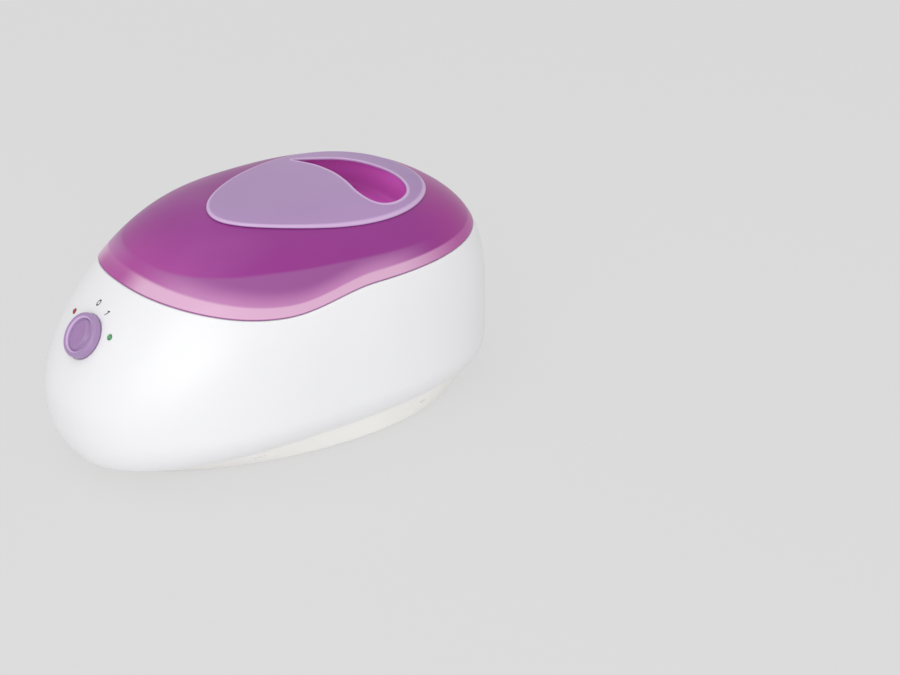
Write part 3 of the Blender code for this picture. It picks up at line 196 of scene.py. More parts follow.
def carve(target, adds=(), cuts=(), keeps=()):
    """Add, cut and keep skins with exact Booleans, one after another, and keep the result as the mesh."""
    helpers = []
    for operation, group in (("UNION", adds), ("INTERSECT", keeps), ("DIFFERENCE", cuts)):
        for part in group:
            helper = part
            if not isinstance(part, bpy.types.Object):
                helper = show("helper", mesh_of("helper", [part]))
            helper.hide_render = True
            step = target.modifiers.new(operation, "BOOLEAN")
            step.operation, step.solver, step.object = operation, "EXACT", helper
            helpers.append(helper)
    bpy.context.view_layer.update()
    whole = bpy.data.meshes.new_from_object(target.evaluated_get(bpy.context.evaluated_depsgraph_get()))
    target.modifiers.clear()
    target.data = whole
    for helper in helpers:
        bpy.data.objects.remove(helper)
    return target


def dress(made, look, body, slot, replaces, sharp=35.0):
    """Give a finished piece its look and its body, and hide the nodes that it stands for. The slot is not used.
    """
    made.data.materials.clear()
    made.data.materials.append(look.material)
    made.data.shade_smooth()
    made.data.set_sharp_from_angle(angle=math.radians(sharp))
    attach(made, body)
    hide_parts(*replaces)
    return made


def placed(points, spot):
    """Points of a frame (x right, y up the slope, z outwards) in the part's own frame."""
    origin, axes = spot
    return origin + np.asarray(points) @ axes


def front_frame(y, z):
    """Frame on the front face at a side place and a height, from differences over the form."""
    def point(y, z):
        front, rear, side = profile(z)
        c = -1.0
        for _ in range(12):
            c = -(1 - min(abs(y / (side * swell(c))), 0.999) ** EGG_POWER) ** (1 / EGG_POWER)
        return np.array([(front + rear) / 2 + (rear - front) / 2 * c, y, z])

    across = point(y - WALL, z) - point(y + WALL, z)
    rise = point(y, z + WALL) - point(y, z - WALL)
    out = np.cross(across, rise)
    out /= np.linalg.norm(out)
    up = rise - out * (rise @ out)
    up /= np.linalg.norm(up)
    return point(y, z), np.stack([np.cross(up, out), up, out])


def turned(profile_points, sizes=None, count=48, spot=None, wrap=False, steps=5):
    """Skin of a body of revolution: a profile of (radius, height), its corners softened, turned round
    the frame's own axis. A radius of zero at an end closes it with a fan."""
    points = [np.array(p, float) for p in profile_points]
    ends = [None, None]
    if not wrap:
        for k in (0, -1):
            if points[k][0] == 0:
                ends[k] = (0, 0, points[k][1])
    line = soften(points, sizes or [0] * len(points), steps)
    if ends[0]:
        line = line[1:]
    if ends[1]:
        line = line[:-1]
    turn = turns(count)
    rings = [np.stack([r * np.cos(turn), r * np.sin(turn), np.full(len(turn), z)], axis=1) for r, z in line]
    spot = spot or (np.zeros(3), np.eye(3))
    return skin([placed(r, spot) for r in rings], wrap,
                *(placed(e, spot) if e else None for e in ends))


def upright(x, y, z=0.0):
    """Frame that stands on a spot with its axis up."""
    return np.array([x, y, z]), np.eye(3)


# finishes

def tint(red, green, blue):
    """Linear colour of screen values from 0 to 255."""
    share = np.array([red, green, blue]) / 255
    return (*np.where(share <= 0.04045, share / 12.92, ((share + 0.055) / 1.055) ** 2.4), 1.0)


class Wire:
    """A socket of a finish; arithmetic on it adds Math nodes."""

    def __init__(self, finish, socket):
        self.finish, self.socket = finish, socket

    def math(self, operation, *values):
        return self.finish.node("ShaderNodeMath", {"operation": operation}, *values)

    def __add__(self, other):
        return self.math("ADD", self, other)

    def __sub__(self, other):
        return self.math("SUBTRACT", self, other)

    def __rsub__(self, other):
        return self.math("SUBTRACT", other, self)

    def __mul__(self, other):
        return self.math("MULTIPLY", self, other)

    def __truediv__(self, other):
        return self.math("DIVIDE", self, other)

    def __pow__(self, other):
        return self.math("POWER", self, other)

    def __abs__(self):
        return self.math("ABSOLUTE", self)

    __radd__, __rmul__ = __add__, __mul__

    def rise(self, low, high):
        """0 up to low, 1 from high, and a smooth step between."""
        return self.finish.node("ShaderNodeMapRange", {"interpolation_type": "SMOOTHSTEP"}, self, low, high)

    def fall(self, low, high):
        return 1 - self.rise(low, high)


class Finish:
    """A procedural material: one Principled shader and what feeds it."""

    def __init__(self, name, colour, roughness, **sockets):
        self.material = bpy.data.materials.new(name)
        self.material.use_nodes = True
        self.tree = self.material.node_tree
        self.shader = self.tree.nodes["Principled BSDF"]
        self.feed("Base Color", colour)
        self.feed("Roughness", roughness)
        for key, value in sockets.items():
            self.feed(key.replace("_", " "), value)
        self.material.diffuse_color = colour if isinstance(colour, tuple) else (0.5, 0.5, 0.5, 1)

    def feed(self, key, value):
        socket = self.shader.inputs[key]
        if isinstance(value, Wire):
            self.tree.links.new(value.socket, socket)
        else:
            socket.default_value = value

    def node(self, kind, settings, *values, out=0, **named):
        """Any node: its settings first, then values or wires for its sockets, in order or by name."""
        made = self.tree.nodes.new(kind)
        for key, value in settings.items():
            setattr(made, key, value)
        pairs = [(made.inputs[k], value) for k, value in enumerate(values) if value is not None]
        pairs += [(made.inputs[key.replace("_", " ")], value) for key, value in named.items()]
        for socket, value in pairs:
            if isinstance(value, Wire):
                self.tree.links.new(value.socket, socket)
            else:
                socket.default_value = value
        return Wire(self, made.outputs[out])

    def place(self, centre=(0, 0, 0), turn=(0, 0, 0), scale=(1, 1, 1)):
        """Object coordinates, centred, turned and stretched."""
        here = self.node("ShaderNodeTexCoord", {}, out=3)
        if (centre, turn, scale) == ((0, 0, 0), (0, 0, 0), (1, 1, 1)):
            return here
        moved = self.node("ShaderNodeMapping", {"vector_type": "TEXTURE"}, here, centre, turn)
        return self.node("ShaderNodeMapping", {}, moved, Scale=scale)

    def coordinate(self, axis):
        """Object coordinate along x, y or z, as 0, 1 or 2."""
        return self.node("ShaderNodeSeparateXYZ", {}, self.place(), out=axis)

    def noise(self, scale, detail=2.0, where=None, rough=0.5):
        return self.node("ShaderNodeTexNoise", {}, Vector=where or self.place(), Scale=scale, Detail=detail,
                         Roughness=rough)

    def attribute(self, name):
        return self.node("ShaderNodeAttribute", {"attribute_name": name}, out=2)

    def mix(self, mask, low, high):
        """Colour between low and high by a mask."""
        made = self.tree.nodes.new("ShaderNodeMix")
        made.data_type = "RGBA"
        for socket, value in ((made.inputs[0], mask), (made.inputs[6], low), (made.inputs[7], high)):
            if isinstance(value, Wire):
                self.tree.links.new(value.socket, socket)
            else:
                socket.default_value = value
        return Wire(self, made.outputs[2])

    def along(self, origin, axis):
        """Distance of a point from an origin along an axis."""
        here = self.node("ShaderNodeVectorMath", {"operation": "SUBTRACT"}, self.place(), tuple(origin))
        return self.node("ShaderNodeVectorMath", {"operation": "DOT_PRODUCT"}, here, tuple(axis), out=1)

    def bump(self, height, strength, distance):
        made = self.node("ShaderNodeBump", {}, Strength=strength, Distance=distance, Height=height)
        self.feed("Normal", made)


def moulded(name, colour, rough, grain=900.0, relief=0.02 * MM, drift=0.03, **sockets):
    """Moulded plastic: a slight drift of colour, cloudy gloss and a fine mould grain."""
    made = Finish(name, colour, rough, **sockets)
    cloud = made.noise(14.0, 3.0)
    dark = tuple(c * (1 - drift) for c in colour[:3]) + (1.0,)
    made.base = made.mix(cloud.rise(0.3, 0.7), dark, colour)
    made.feed("Base Color", made.base)
    made.feed("Roughness", rough + (made.noise(60.0, 4.0) - 0.5) * 0.10)
    made.bump(made.noise(grain, 3.0), 0.25, relief)
    return made


def metal(name, colour, rough, stretch=(1, 1, 1), fleck=90.0, relief=0.03 * MM):
    """Sheet or turned metal: fine drawn lines or flecks in colour, gloss and relief."""
    made = Finish(name, colour, rough, Metallic=1.0)
    lines = made.noise(fleck, 6.0, made.place(scale=stretch), 0.6)
    dull = tuple(c * 0.82 for c in colour[:3]) + (1.0,)
    made.feed("Base Color", made.mix(lines.rise(0.35, 0.7), dull, colour))
    made.feed("Roughness", rough + (lines - 0.5) * 0.25)
    made.bump(lines, 0.3, relief)
    return made


# places on the front face

KNOB_Z = 112.8 * MM
knob_spot = front_frame(0.0, KNOB_Z)
lamp_z = KNOB_Z + 8.8 * MM * knob_spot[1][1][2]
red_spot, green_spot = front_frame(29.5 * MM, lamp_z), front_frame(-25.5 * MM, lamp_z)
outlet_x = form(0.0, 60 * MM)[0]
outlet_spot = np.array([outlet_x, 0, 60 * MM]), np.array([[0, 0, -1.0], [0, 1, 0], [1, 0, 0]])

FEET = [(-98 * MM, 44 * MM), (-98 * MM, -44 * MM), (112 * MM, 56 * MM), (112 * MM, -56 * MM)]
SCREWS = [(-128 * MM, 24 * MM), (-128 * MM, -24 * MM), (151.5 * MM, 24 * MM), (151.5 * MM, -24 * MM)]

# white shell: satin moulding with the two dial marks printed beside the knob

shell_look = moulded("shell_white", tint(243, 243, 245), 0.30, drift=0.012)
across = shell_look.along(knob_spot[0], knob_spot[1][0])
rise = shell_look.along(knob_spot[0], knob_spot[1][1])
depth = shell_look.along(knob_spot[0], knob_spot[1][2])


def mark_axes(right, up, degrees):
    """Distances across and along a mark that stands at a place beside the knob, turned clockwise."""
    lean = math.radians(degrees)
    x, y = across - right * MM, rise - up * MM
    return x * math.cos(lean) - y * math.sin(lean), x * math.sin(lean) + y * math.cos(lean)


x, y = mark_axes(-5.8, 27.4, 15)
nought = abs(((x / (1.45 * MM)) ** 2 + (y / (2.35 * MM)) ** 2) ** 0.5 - 1).fall(0.26, 0.36)
x, y = mark_axes(9.9, 24.5, 34)
stroke = abs(x).fall(0.36 * MM, 0.52 * MM) * abs(y).fall(2.7 * MM, 2.85 * MM)
flag = (abs(y + x * -0.7 - 2.0 * MM).fall(0.5 * MM, 0.7 * MM)
        * abs(x + 0.75 * MM).fall(0.85 * MM, 1.0 * MM) * y.fall(2.75 * MM, 2.85 * MM))
one = 1 - (1 - stroke) * (1 - flag)
marks = (1 - (1 - nought) * (1 - one)) * depth.rise(-4.3 * MM, -4.1 * MM)
shell_look.feed("Base Color", shell_look.mix(marks, shell_look.base, tint(58, 58, 62)))

round_shell = turns(300)
rim = rim_height(round_shell)
edge = 21 * MM + 7 * MM * np.cos(round_shell)
under = 125.6 * MM
thick = np.minimum(rim - 2.4 * MM, under)


TANK_X, TANK_LONG, TANK_WIDE, TANK_POWER = 18.5 * MM, 124 * MM, 71 * MM, 2.6


def tank_oval(turn, offset, z):
    """Superellipse of the tank's opening, grown by an offset."""
    return oval(turn, TANK_X, 0, TANK_LONG + offset, TANK_WIDE + offset, TANK_POWER, z)


rows = [form(round_shell, edge + (rim - edge) * s, SKIN) for s in np.linspace(0, 1, 46)]
lip = rim + 11 * MM
corners = soften([rows[-2], rows[-1], form(round_shell, rim, LIP_OUT), form(round_shell, lip, LIP_OUT),
                  form(round_shell, lip, LIP_IN), form(round_shell, lip + (DECK_Z - lip) * 0.5, LIP_IN)],
                 [0, 0.7 * MM, 0.5 * MM, 0.9 * MM, 0.9 * MM, 0])
rows = rows[:-1] + corners[1:]
rows += soften([rows[-1], form(round_shell, DECK_Z, LIP_IN), tank_oval(round_shell, 2.4 * MM, DECK_Z),
                tank_oval(round_shell, 2.4 * MM, under), form(round_shell, under, LIP_IN + 0.8 * MM)],
               [0, 1.8 * MM, 0.5 * MM, 0.5 * MM, 0])[1:]
rows += [form(round_shell, thick, LIP_IN), form(round_shell, thick - 4 * MM, WALL)]
rows += [form(round_shell, edge + (thick - 4 * MM - edge) * s, WALL) for s in np.linspace(0.94, 0.06, 16)]
rows += soften([rows[-1], form(round_shell, edge, WALL), rows[0], rows[1]], [0, 0.4 * MM, 0.7 * MM, 0])[1:-1]
shell = show("bath_shell", mesh_of("bath_shell", [skin(rows[1:], wrap=True)]))


def seat_cut(radius, floor, spill, lift):
    """Cutter with a floor, a straight wall and a flare that rounds the edge it leaves."""
    return ((0, floor), (radius, floor), (radius, lift - spill), (radius + spill * 0.3, lift - spill * 0.3),
            (radius + spill, lift), (radius + 3 * spill, lift + 5 * spill), (0, lift + 5 * spill))


knob_cut = turned(seat_cut(18.6 * MM, -2 * MM, 0.35 * MM, -0.9 * MM), [0, 0.3 * MM, 0, 0.2 * MM, 0, 0, 0],
                  90, knob_spot)
shaft_cut = turned(((0, -11 * MM), (4.9 * MM, -11 * MM), (4.9 * MM, 4 * MM), (0, 4 * MM)), None, 40,
                   knob_spot)
boss = turned(((0, -6 * MM), (18 * MM, -6 * MM), (18 * MM, -1.3 * MM), (0, -1.3 * MM)), None, 64,
              knob_spot)
lamp_cuts = [turned(seat_cut(2.5 * MM, -7 * MM, 0.25 * MM, 0.02 * MM), None, 40, spot)
             for spot in (red_spot, green_spot)]
pad = turned(((0, -5.8 * MM), (12.5 * MM, -5.8 * MM), (12.5 * MM, -1.9 * MM), (0, -1.9 * MM)), None, 48,
             outlet_spot)
recess = turned(seat_cut(10.1 * MM, -3.4 * MM, 0.4 * MM, 0.0), [0, 0.4 * MM, 0, 0.2 * MM, 0, 0, 0], 64,
                outlet_spot)
bore = turned(((0, -10 * MM), (6.7 * MM, -10 * MM), (6.7 * MM, 4 * MM), (0, 4 * MM)), None, 48, outlet_spot)
carve(shell, adds=[boss, pad], cuts=[knob_cut, shaft_cut, *lamp_cuts, recess, bore])
posts = show("posts", mesh_of("posts", [
    turned(((2.1 * MM, 38 * MM), (2.1 * MM, 16 * MM), (5 * MM, 16 * MM), (5 * MM, 126.8 * MM),
            (2.1 * MM, 126.8 * MM)), [0, 0, 0.5 * MM, 0, 0], 32, upright(x, y), wrap=True)
    for x, y in SCREWS]))


def join(target, other):
    """Add the closed skins of another object to the mesh of the first."""
    meshes = [target.data, other.data]
    spots, faces, base = [], [], 0
    for mesh in meshes:
        co = np.empty(len(mesh.vertices) * 3)
        mesh.vertices.foreach_get("co", co)
        loops = np.empty(len(mesh.loops), int)
        mesh.loops.foreach_get("vertex_index", loops)
        sizes = np.empty(len(mesh.polygons), int)
        mesh.polygons.foreach_get("loop_total", sizes)
        faces += [part.tolist() for part in np.split(loops + base, np.cumsum(sizes)[:-1])]
        spots.append(co.reshape(-1, 3))
        base += len(mesh.vertices)
    mesh = bpy.data.meshes.new(target.name)
    mesh.from_pydata(np.vstack(spots).tolist(), [], faces)
    target.data = mesh
    bpy.data.objects.remove(other)


join(shell, posts)
dress(shell, shell_look, "housing", "white_shell", ["body_shell"])

# magenta lid: deep gloss colour, paler where the shell's white lip stands behind the wall, with painted light
# and shade over it

WELL_X, WELL_Y, WELL_FLOOR = 73.5 * MM, -13 * MM, 160 * MM
WELL_LONG, WELL_WIDE, WELL_TOP, WELL_POWER = 38.5 * MM, 58 * MM, 194 * MM, 2.4

lid_look = Finish("lid_magenta", tint(150, 62, 142), 0.32, Coat_Weight=0.1, Coat_Roughness=0.2,
                  Specular_IOR_Level=0.35)
length_x, side_y, height_z = (lid_look.coordinate(axis) for axis in range(3))
lift, level = lid_look.attribute("lift"), lid_look.attribute("level")
deep = lid_look.mix(lid_look.noise(9.0, 3.0).rise(0.35, 0.7), tint(149, 50, 140), tint(156, 58, 148))
# painted light: the lid turns lighter towards the front end and a brighter, redder magenta towards the rear end
painted_front_light = length_x.fall(-150 * MM, -70 * MM)
deep = lid_look.mix(painted_front_light * 0.85, deep, tint(186, 74, 162))
deep = lid_look.mix(length_x.rise(70 * MM, 150 * MM) * 0.7, deep, tint(172, 46, 146))
# painted reflection, with the white deck showing faintly through the wall: a lighter strip above the band along
# the middle of the sides, fading upwards
flank = length_x + abs(side_y) * 0.75
sheen_part = flank.rise(-125 * MM, -60 * MM) * length_x.fall(40 * MM, 100 * MM)
deck_and_sheen_veil = lid_look.mix(lift.rise(8.5 * MM, 21 * MM), tint(194, 128, 182), tint(156, 84, 151))
strip = lid_look.mix(sheen_part, deep, deck_and_sheen_veil)
body = lid_look.mix(level.fall(-1.3 * MM, 1.1 * MM), deep, strip)
# the pale band where the white lip stands behind the wall, with painted shade: darker at the front tip and
# towards the rear end
band_shade_tip = abs(side_y - 20 * MM).fall(15 * MM, 48 * MM) * length_x.fall(-130 * MM, -95 * MM)
band_light_share = (1 - band_shade_tip) * length_x.fall(50 * MM, 135 * MM)
band = lid_look.mix(band_light_share, tint(180, 84, 160), tint(223, 176, 208))
body = lid_look.mix(lift.rise(7.7 * MM, 9.7 * MM), band, body)
# painted shadow: a thin darker line along the lid's foot, at the gap over the shell
line = lid_look.mix(lift.rise(0.9 * MM, 1.6 * MM), tint(160, 76, 150), body)
oval_share = ((abs(length_x - WELL_X) / WELL_LONG) ** WELL_POWER
              + (abs(side_y - WELL_Y) / WELL_WIDE) ** WELL_POWER)
in_well = oval_share.fall(0.97, 1.0) * height_z.rise(158.4 * MM, 159.2 * MM)
inner = lid_look.attribute("inner")
coloured = lid_look.mix(inner, line, tint(158, 72, 150))
# painted light inside the finger well: a brighter magenta in place of the well's shade, lighter still towards
# its top
painted_well_light = lid_look.mix(height_z.rise(164 * MM, 186 * MM), tint(218, 100, 200), tint(238, 116, 220))
lid_look.feed("Base Color", lid_look.mix(in_well, coloured, painted_well_light))
lid_look.feed("Roughness", 0.32 + (lid_look.noise(50.0, 4.0) - 0.5) * 0.08)
lid_look.bump(lid_look.noise(900.0, 2.0), 0.12, 0.01 * MM)

DOME_POWER = 3.2
round_lid = turns(330)
foot = rim_height(round_lid) + SKIRT_GAP


def dome(steps, inset):
    """Rings from the crown down to the foot, closer together where the dome is steep."""
    crown = CROWN_Z - inset
    return [form(round_lid, crown - (crown - foot) * t ** DOME_POWER, inset)
            for t in np.linspace(0, 1, int(steps))[1:]]


outer, inside = dome(70, SKIN), dome(34, WALL)[::-1]
bend = soften([outer[-2], outer[-1], inside[0], inside[1]], [0, 1.1 * MM, 0.5 * MM, 0])
lid = show("lid", mesh_of("lid", [skin(
    outer[:-1] + bend[1:-1] + inside[1:],
    start=(CROWN_X, 0, CROWN_Z - SKIN), end=(CROWN_X, 0, CROWN_Z - WALL))]))


def cup(grow, floor, top):
    """Tapered oval cup from a floor to a top, its floor corner well rounded."""
    turn = turns(160)

    def ring(shrink, z):
        return oval(turn, WELL_X, WELL_Y, WELL_LONG + grow - shrink, WELL_WIDE + grow - shrink, WELL_POWER, z)

    rings = [ring(30 * MM, floor), ring(18 * MM, floor)]
    rings += soften([ring(14 * MM, floor), ring(4.4 * MM, floor), ring(0, top)], [0, 5 * MM, 0], 9)
    return skin(rings, start=(WELL_X, WELL_Y, floor), end=(WELL_X, WELL_Y, top))


envelope = skin(dome(36, WALL / 2), start=(CROWN_X, 0, CROWN_Z - WALL / 2), end=(CROWN_X, 0, RIM_Z - 10.3 * MM))
well = show("well", mesh_of("well", [cup(2.4 * MM, WELL_FLOOR - 2.4 * MM, WELL_TOP)]))
carve(well, keeps=[envelope])
PANEL_X, PANEL_Y, PANEL_LONG, PANEL_WIDE = 37 * MM, -14 * MM, 96.5 * MM, 63 * MM
pegs = [(PANEL_X + PANEL_LONG * a, PANEL_Y + PANEL_WIDE * b)
        for a, b in ((-0.62, 0.0), (-0.18, 0.55), (-0.12, -0.55))]


def height_at(x, y, inset=0.0):
    """Height of the form above one point of the plan."""
    return float(lid_height(np.array([x]), np.array([y]), inset)[0])


peg_holes = [turned(((0, -8 * MM), (3.5 * MM, -8 * MM), (3.5 * MM, 6 * MM), (0, 6 * MM)), None, 32,
                    upright(x, y, height_at(x, y))) for x, y in pegs]
carve(lid, adds=[well], cuts=[cup(0.0, WELL_FLOOR, WELL_TOP), *peg_holes])
spots = np.empty(len(lid.data.vertices) * 3)
lid.data.vertices.foreach_get("co", spots)
spots = spots.reshape(-1, 3)
surface = lid_height(spots[:, 0], spots[:, 1], SKIN)
boundary = np.interp(spots[:, 0], [-170 * MM, -115 * MM, -50 * MM, 5 * MM, 60 * MM, 150 * MM],
                     [162 * MM, 163 * MM, 163.5 * MM, 161 * MM, 157.5 * MM, 153.5 * MM])
for name, values in (("lift", spots[:, 2] - rim_height(turn_at(spots))), ("level", spots[:, 2] - boundary),
                     ("inner", (spots[:, 2] < surface - 1.5 * MM).astype(float))):
    lid.data.attributes.new(name, "FLOAT", "POINT").data.foreach_set("value", values)
dress(lid, lid_look, "lid", "magenta_lid", ["lid_shell"])

# lilac handle panel with the finger hole, its edges rolled into a raised round lip that carries a painted
# highlight

panel_look = moulded("panel_lilac", tint(182, 147, 196), 0.36, grain=1300.0, relief=0.03 * MM, drift=0.05)
# painted shade: the panel turns darker towards its far end
far_shade = panel_look.coordinate(0).rise(80 * MM, 130 * MM)
lilac = panel_look.mix(far_shade * 0.8, panel_look.base, tint(168, 132, 187))
# painted highlight: a lighter tone along the rolled edges of the panel and of the finger hole
panel_look.feed("Base Color", panel_look.mix(panel_look.attribute("bead_highlight"), lilac, tint(213, 180, 221)))

hole_shares = np.array((
    (0.00, 1.00), (0.12, 0.98), (0.35, 0.92), (0.60, 0.85), (0.81, 0.73), (0.95, 0.56), (1.00, 0.39),
    (0.94, 0.21), (0.78, 0.08), (0.53, 0.005), (0.29, 0.00), (0.15, 0.07), (0.12, 0.21), (0.18, 0.40),
    (0.21, 0.60), (0.16, 0.79), (0.06, 0.92)))
knots = np.array([52.2, -63.3]) * MM + hole_shares * np.array([56.0, 102.5]) * MM


def smooth_loop(knots, steps):
    """Smooth closed curve through the knots: each span is a cubic from its four nearest knots."""
    a, b, c, d = (np.roll(knots, -k, axis=0)[:, None, :] for k in (-1, 0, 1, 2))
    u = (np.arange(steps) / steps)[None, :, None]
    return (0.5 * (2 * b + (c - a) * u + (2 * a - 5 * b + 4 * c - d) * u ** 2
                   + (3 * b - a - 3 * c + d) * u ** 3)).reshape(-1, 2)


def panel_edge(turn, shrink=0.0):
    """Egg outline of the panel, skewed towards the rear, moved in by a length."""
    c, s = np.cos(turn), np.sin(turn)
    long, wide = PANEL_LONG - shrink, PANEL_WIDE - shrink
    return np.stack([PANEL_X + long * c, PANEL_Y + wide * s * (1 + 0.22 * c) + 0.04 * long * c], axis=-1)


loop = smooth_loop(knots, 60)[::-1]
step = np.roll(loop, -1, axis=0) - np.roll(loop, 1, axis=0)
heading = np.unwrap(np.arctan2(step[:, 1], step[:, 0]))
length = np.linalg.norm(np.diff(loop, axis=0, append=loop[:1]), axis=1)
weight = np.concatenate([[0], np.cumsum(length + 26 * MM * np.abs(np.diff(heading, append=heading[0] + (
    2 * math.pi if heading[-1] > heading[0] else -2 * math.pi))))])
P = 380
pick = np.interp(np.arange(P) * weight[-1] / P, weight, np.arange(len(weight)))
whole = np.vstack([loop, loop[:1]])
hole = np.stack([np.interp(pick, np.arange(len(whole)), whole[:, k]) for k in (0, 1)], axis=1)
side = np.roll(hole, -2, axis=0) - np.roll(hole, 2, axis=0)
sense = 1 if np.sum(hole[:, 0] * np.roll(hole[:, 1], -1) - hole[:, 1] * np.roll(hole[:, 0], -1)) > 0 else -1
normal = sense * np.stack([side[:, 1], -side[:, 0]], axis=1)
normal /= np.linalg.norm(normal, axis=1, keepdims=True)
for _ in range(6):
    normal = normal + np.roll(normal, 1, axis=0) + np.roll(normal, -1, axis=0)
    normal /= np.linalg.norm(normal, axis=1, keepdims=True)
egg = panel_edge(turns(2400))
reach = egg[None, :, :] - hole[:, None, :]
miss = np.abs(reach[:, :, 0] * normal[:, None, 1] - reach[:, :, 1] * normal[:, None, 0])
ahead = np.einsum("ijk,ik->ij", reach, normal)
hit = np.unwrap(np.argmin(np.where(ahead > 0, miss, 1.0), axis=1) * 2 * math.pi / 2400)
steps = np.diff(hit, append=hit[0] + sense * 2 * math.pi) * sense
for _ in range(40):
    steps = np.maximum(steps, 0.35 * 2 * math.pi / P)
    steps = (np.roll(steps, 1) + 2 * steps + np.roll(steps, -1)) / 4
    steps *= 2 * math.pi / steps.sum()
edge_turn = np.concatenate([[0], np.cumsum(steps)[:-1]]) * sense
edge_turn += np.mean(hit - edge_turn)
away = panel_edge(edge_turn)
span = np.linalg.norm(away - hole, axis=1)[:, None]
room = np.minimum(span / (9.5 * MM), 1.0)


def panel_ring(from_hole, from_edge, share, rise):
    """Ring between hole and edge at a share of the way, after a strip along each of them, at a rise
    above the lid."""
    low, high = hole + normal * from_hole * room, panel_edge(edge_turn, from_edge)
    spot = low + (high - low) * share
    return np.column_stack([spot, lid_height(spot[:, 0], spot[:, 1]) + rise])


REST, RISE, CREST = 0.4 * MM, 2.0 * MM, 0.3 * MM
rings = [panel_ring(0.0, 0, 0, z) for z in (REST, 0.9 * MM, 1.3 * MM)]
# how much of the painted highlight on the rolled edges each ring takes, in the order of the rings
highlight_share = [0, 0.2, 0.6] + [1.0] * 8 + [0.7, 0.35, 0.0] + [0.0] * 32
for angle in np.linspace(0.1, 1, 10) * math.pi:
    rings.append(panel_ring(1.2 * MM * (1 - math.cos(angle)), 0, 0,
                            RISE - 0.55 * MM + (0.55 * MM + CREST) * math.sin(angle)
                            + 0.55 * MM * angle / math.pi * (1 - math.sin(angle))))
rings.append(panel_ring(3.0 * MM, 0, 0, RISE))
for share in np.linspace(0.03, 0.97, 32):
    rings.append(panel_ring(3.0 * MM, 5.0 * MM, share, RISE))
for strip, rise in ((4.2, 2.0), (3.7, 2.03), (3.2, 2.12), (2.7, 2.22), (2.2, 2.29), (1.7, 2.3), (1.2, 2.22),
                    (0.75, 2.05), (0.4, 1.8), (0.15, 1.5), (0.03, 1.2), (0.0, 0.95)):
    rings.append(panel_ring(3.0 * MM, strip * MM, 1, rise * MM))
highlight_share += [0.0, 0.0, 0.1, 0.3, 0.6, 0.9, 1.0, 1.0, 1.0, 0.7, 0.3, 0.0] + [0.0] * 19
for strip, rise in ((0.12, 0.65), (0.6, 0.45), (1.8, 0.4)):
    rings.append(panel_ring(3.0 * MM, strip * MM, 1, rise * MM))
for share in np.linspace(0.95, 0.05, 16):
    rings.append(panel_ring(2.0 * MM, 5.0 * MM, share, REST))
panel_skins = [skin(rings, wrap=True)]
screw_skins = []
for x, y in pegs:
    top, below = height_at(x, y), height_at(x, y, WALL)
    lean = abs(height_at(x, y + 3 * MM, WALL) - height_at(x, y - 3 * MM, WALL)) / 2
    head = below - lean - 0.3 * MM
    panel_skins.append(turned(
        ((1.5 * MM, head + 4 * MM), (1.5 * MM, head + 0.3 * MM), (3.2 * MM, head + 0.3 * MM),
         (3.2 * MM, top + 1.0 * MM), (1.5 * MM, top + 1.0 * MM)), [0, 0, 0.3 * MM, 0, 0], 32, upright(x, y),
        wrap=True))
    screw_skins.append((x, y, head))
panel = show("handle_panel", mesh_of("handle_panel", panel_skins))
bead_highlight = np.zeros(len(panel.data.vertices))
bead_highlight[:len(rings) * P] = np.repeat(highlight_share, P)
panel.data.attributes.new("bead_highlight", "FLOAT", "POINT").data.foreach_set("value", bead_highlight)
dress(panel, panel_look, "lid", "lilac_panel", ["lid_handle"], sharp=50)

# knob: a ring with a rounded shoulder, a groove inside it and a lens-shaped grip

knob_look = moulded("knob_lilac", tint(172, 140, 186), 0.36, grain=1500.0, relief=0.02 * MM, drift=0.04)


def ease(value, low, high):
    """0 up to low, 1 from high, smooth between."""
    t = np.clip((value - low) / (high - low), 0, 1)
    return t * t * (3 - 2 * t)


def lens_depth(x, y):
    """How far a spot lies inside the lens where two circles overlap, negative outside it."""
    reach, half = 13.8, 9.2
    radius = (reach ** 2 + half ** 2) / (2 * half)
    return radius - np.hypot(np.abs(x) + radius - half, y)


def knob_height(x, y):
    """Height of the knob's top: a ring that rises to a shoulder, a groove inside the ring, and a
    raised lens with sloping flanks and a slight dish."""
    r = np.hypot(x, y)
    ring = 4.7 + 0.9 * ease(r, 13.8, 15.8) - 1.6 * ease(r, 16.2, 18.4) ** 2
    groove = 2.75 + (ring - 2.75) * ease(r, 13.1, 13.9)
    top = 5.3 - 0.6 * np.exp(-(x / 4.0) ** 2 - (y / 8.5) ** 2)
    return groove + (np.maximum(top, groove) - groove) * ease(lens_depth(x, y), -0.1, 2.2)


def painted_knob_light(x, y):
    """Painted highlight: a lighter line along the ring's inner lip; painted shade: a deeper tone on top of the
    grip.
    """
    r = np.hypot(x, y)
    return ease(r, 13.3, 13.8) * (1 - ease(r, 14.3, 15.2)), ease(lens_depth(x, y), 1.9, 2.6)


radii = np.concatenate([np.linspace(0.4, 17.2, 84), [17.5, 17.75, 17.92]])
turn = turns(180) + math.radians(11)
x, y = radii[:, None] * np.cos(turn), radii[:, None] * np.sin(turn)
z = knob_height(x, y)
z[-2:] -= np.array([0.12, 0.4])[:, None]
rings = [np.stack([a, b, c], axis=1) * MM for a, b, c in zip(x, y, z)]
for r, z in ((18.0, 3.7), (18.0, 3.2), (18.0, 0.0), (17.95, -1.2), (17.6, -1.65), (17.0, -1.7), (9.5, -1.7),
             (9.5, 0.9), (3.3, 0.9), (3.3, 3.6)):
    rings.append(np.stack([r * np.cos(turn), r * np.sin(turn), np.full(len(turn), z)], axis=1) * MM)
knob = show("knob", mesh_of("knob", [skin(
    [placed(r, knob_spot) for r in rings],
    start=placed((0, 0, float(knob_height(0.0, 0.0)) * MM), knob_spot),
    end=placed((0, 0, 3.6 * MM), knob_spot))]))
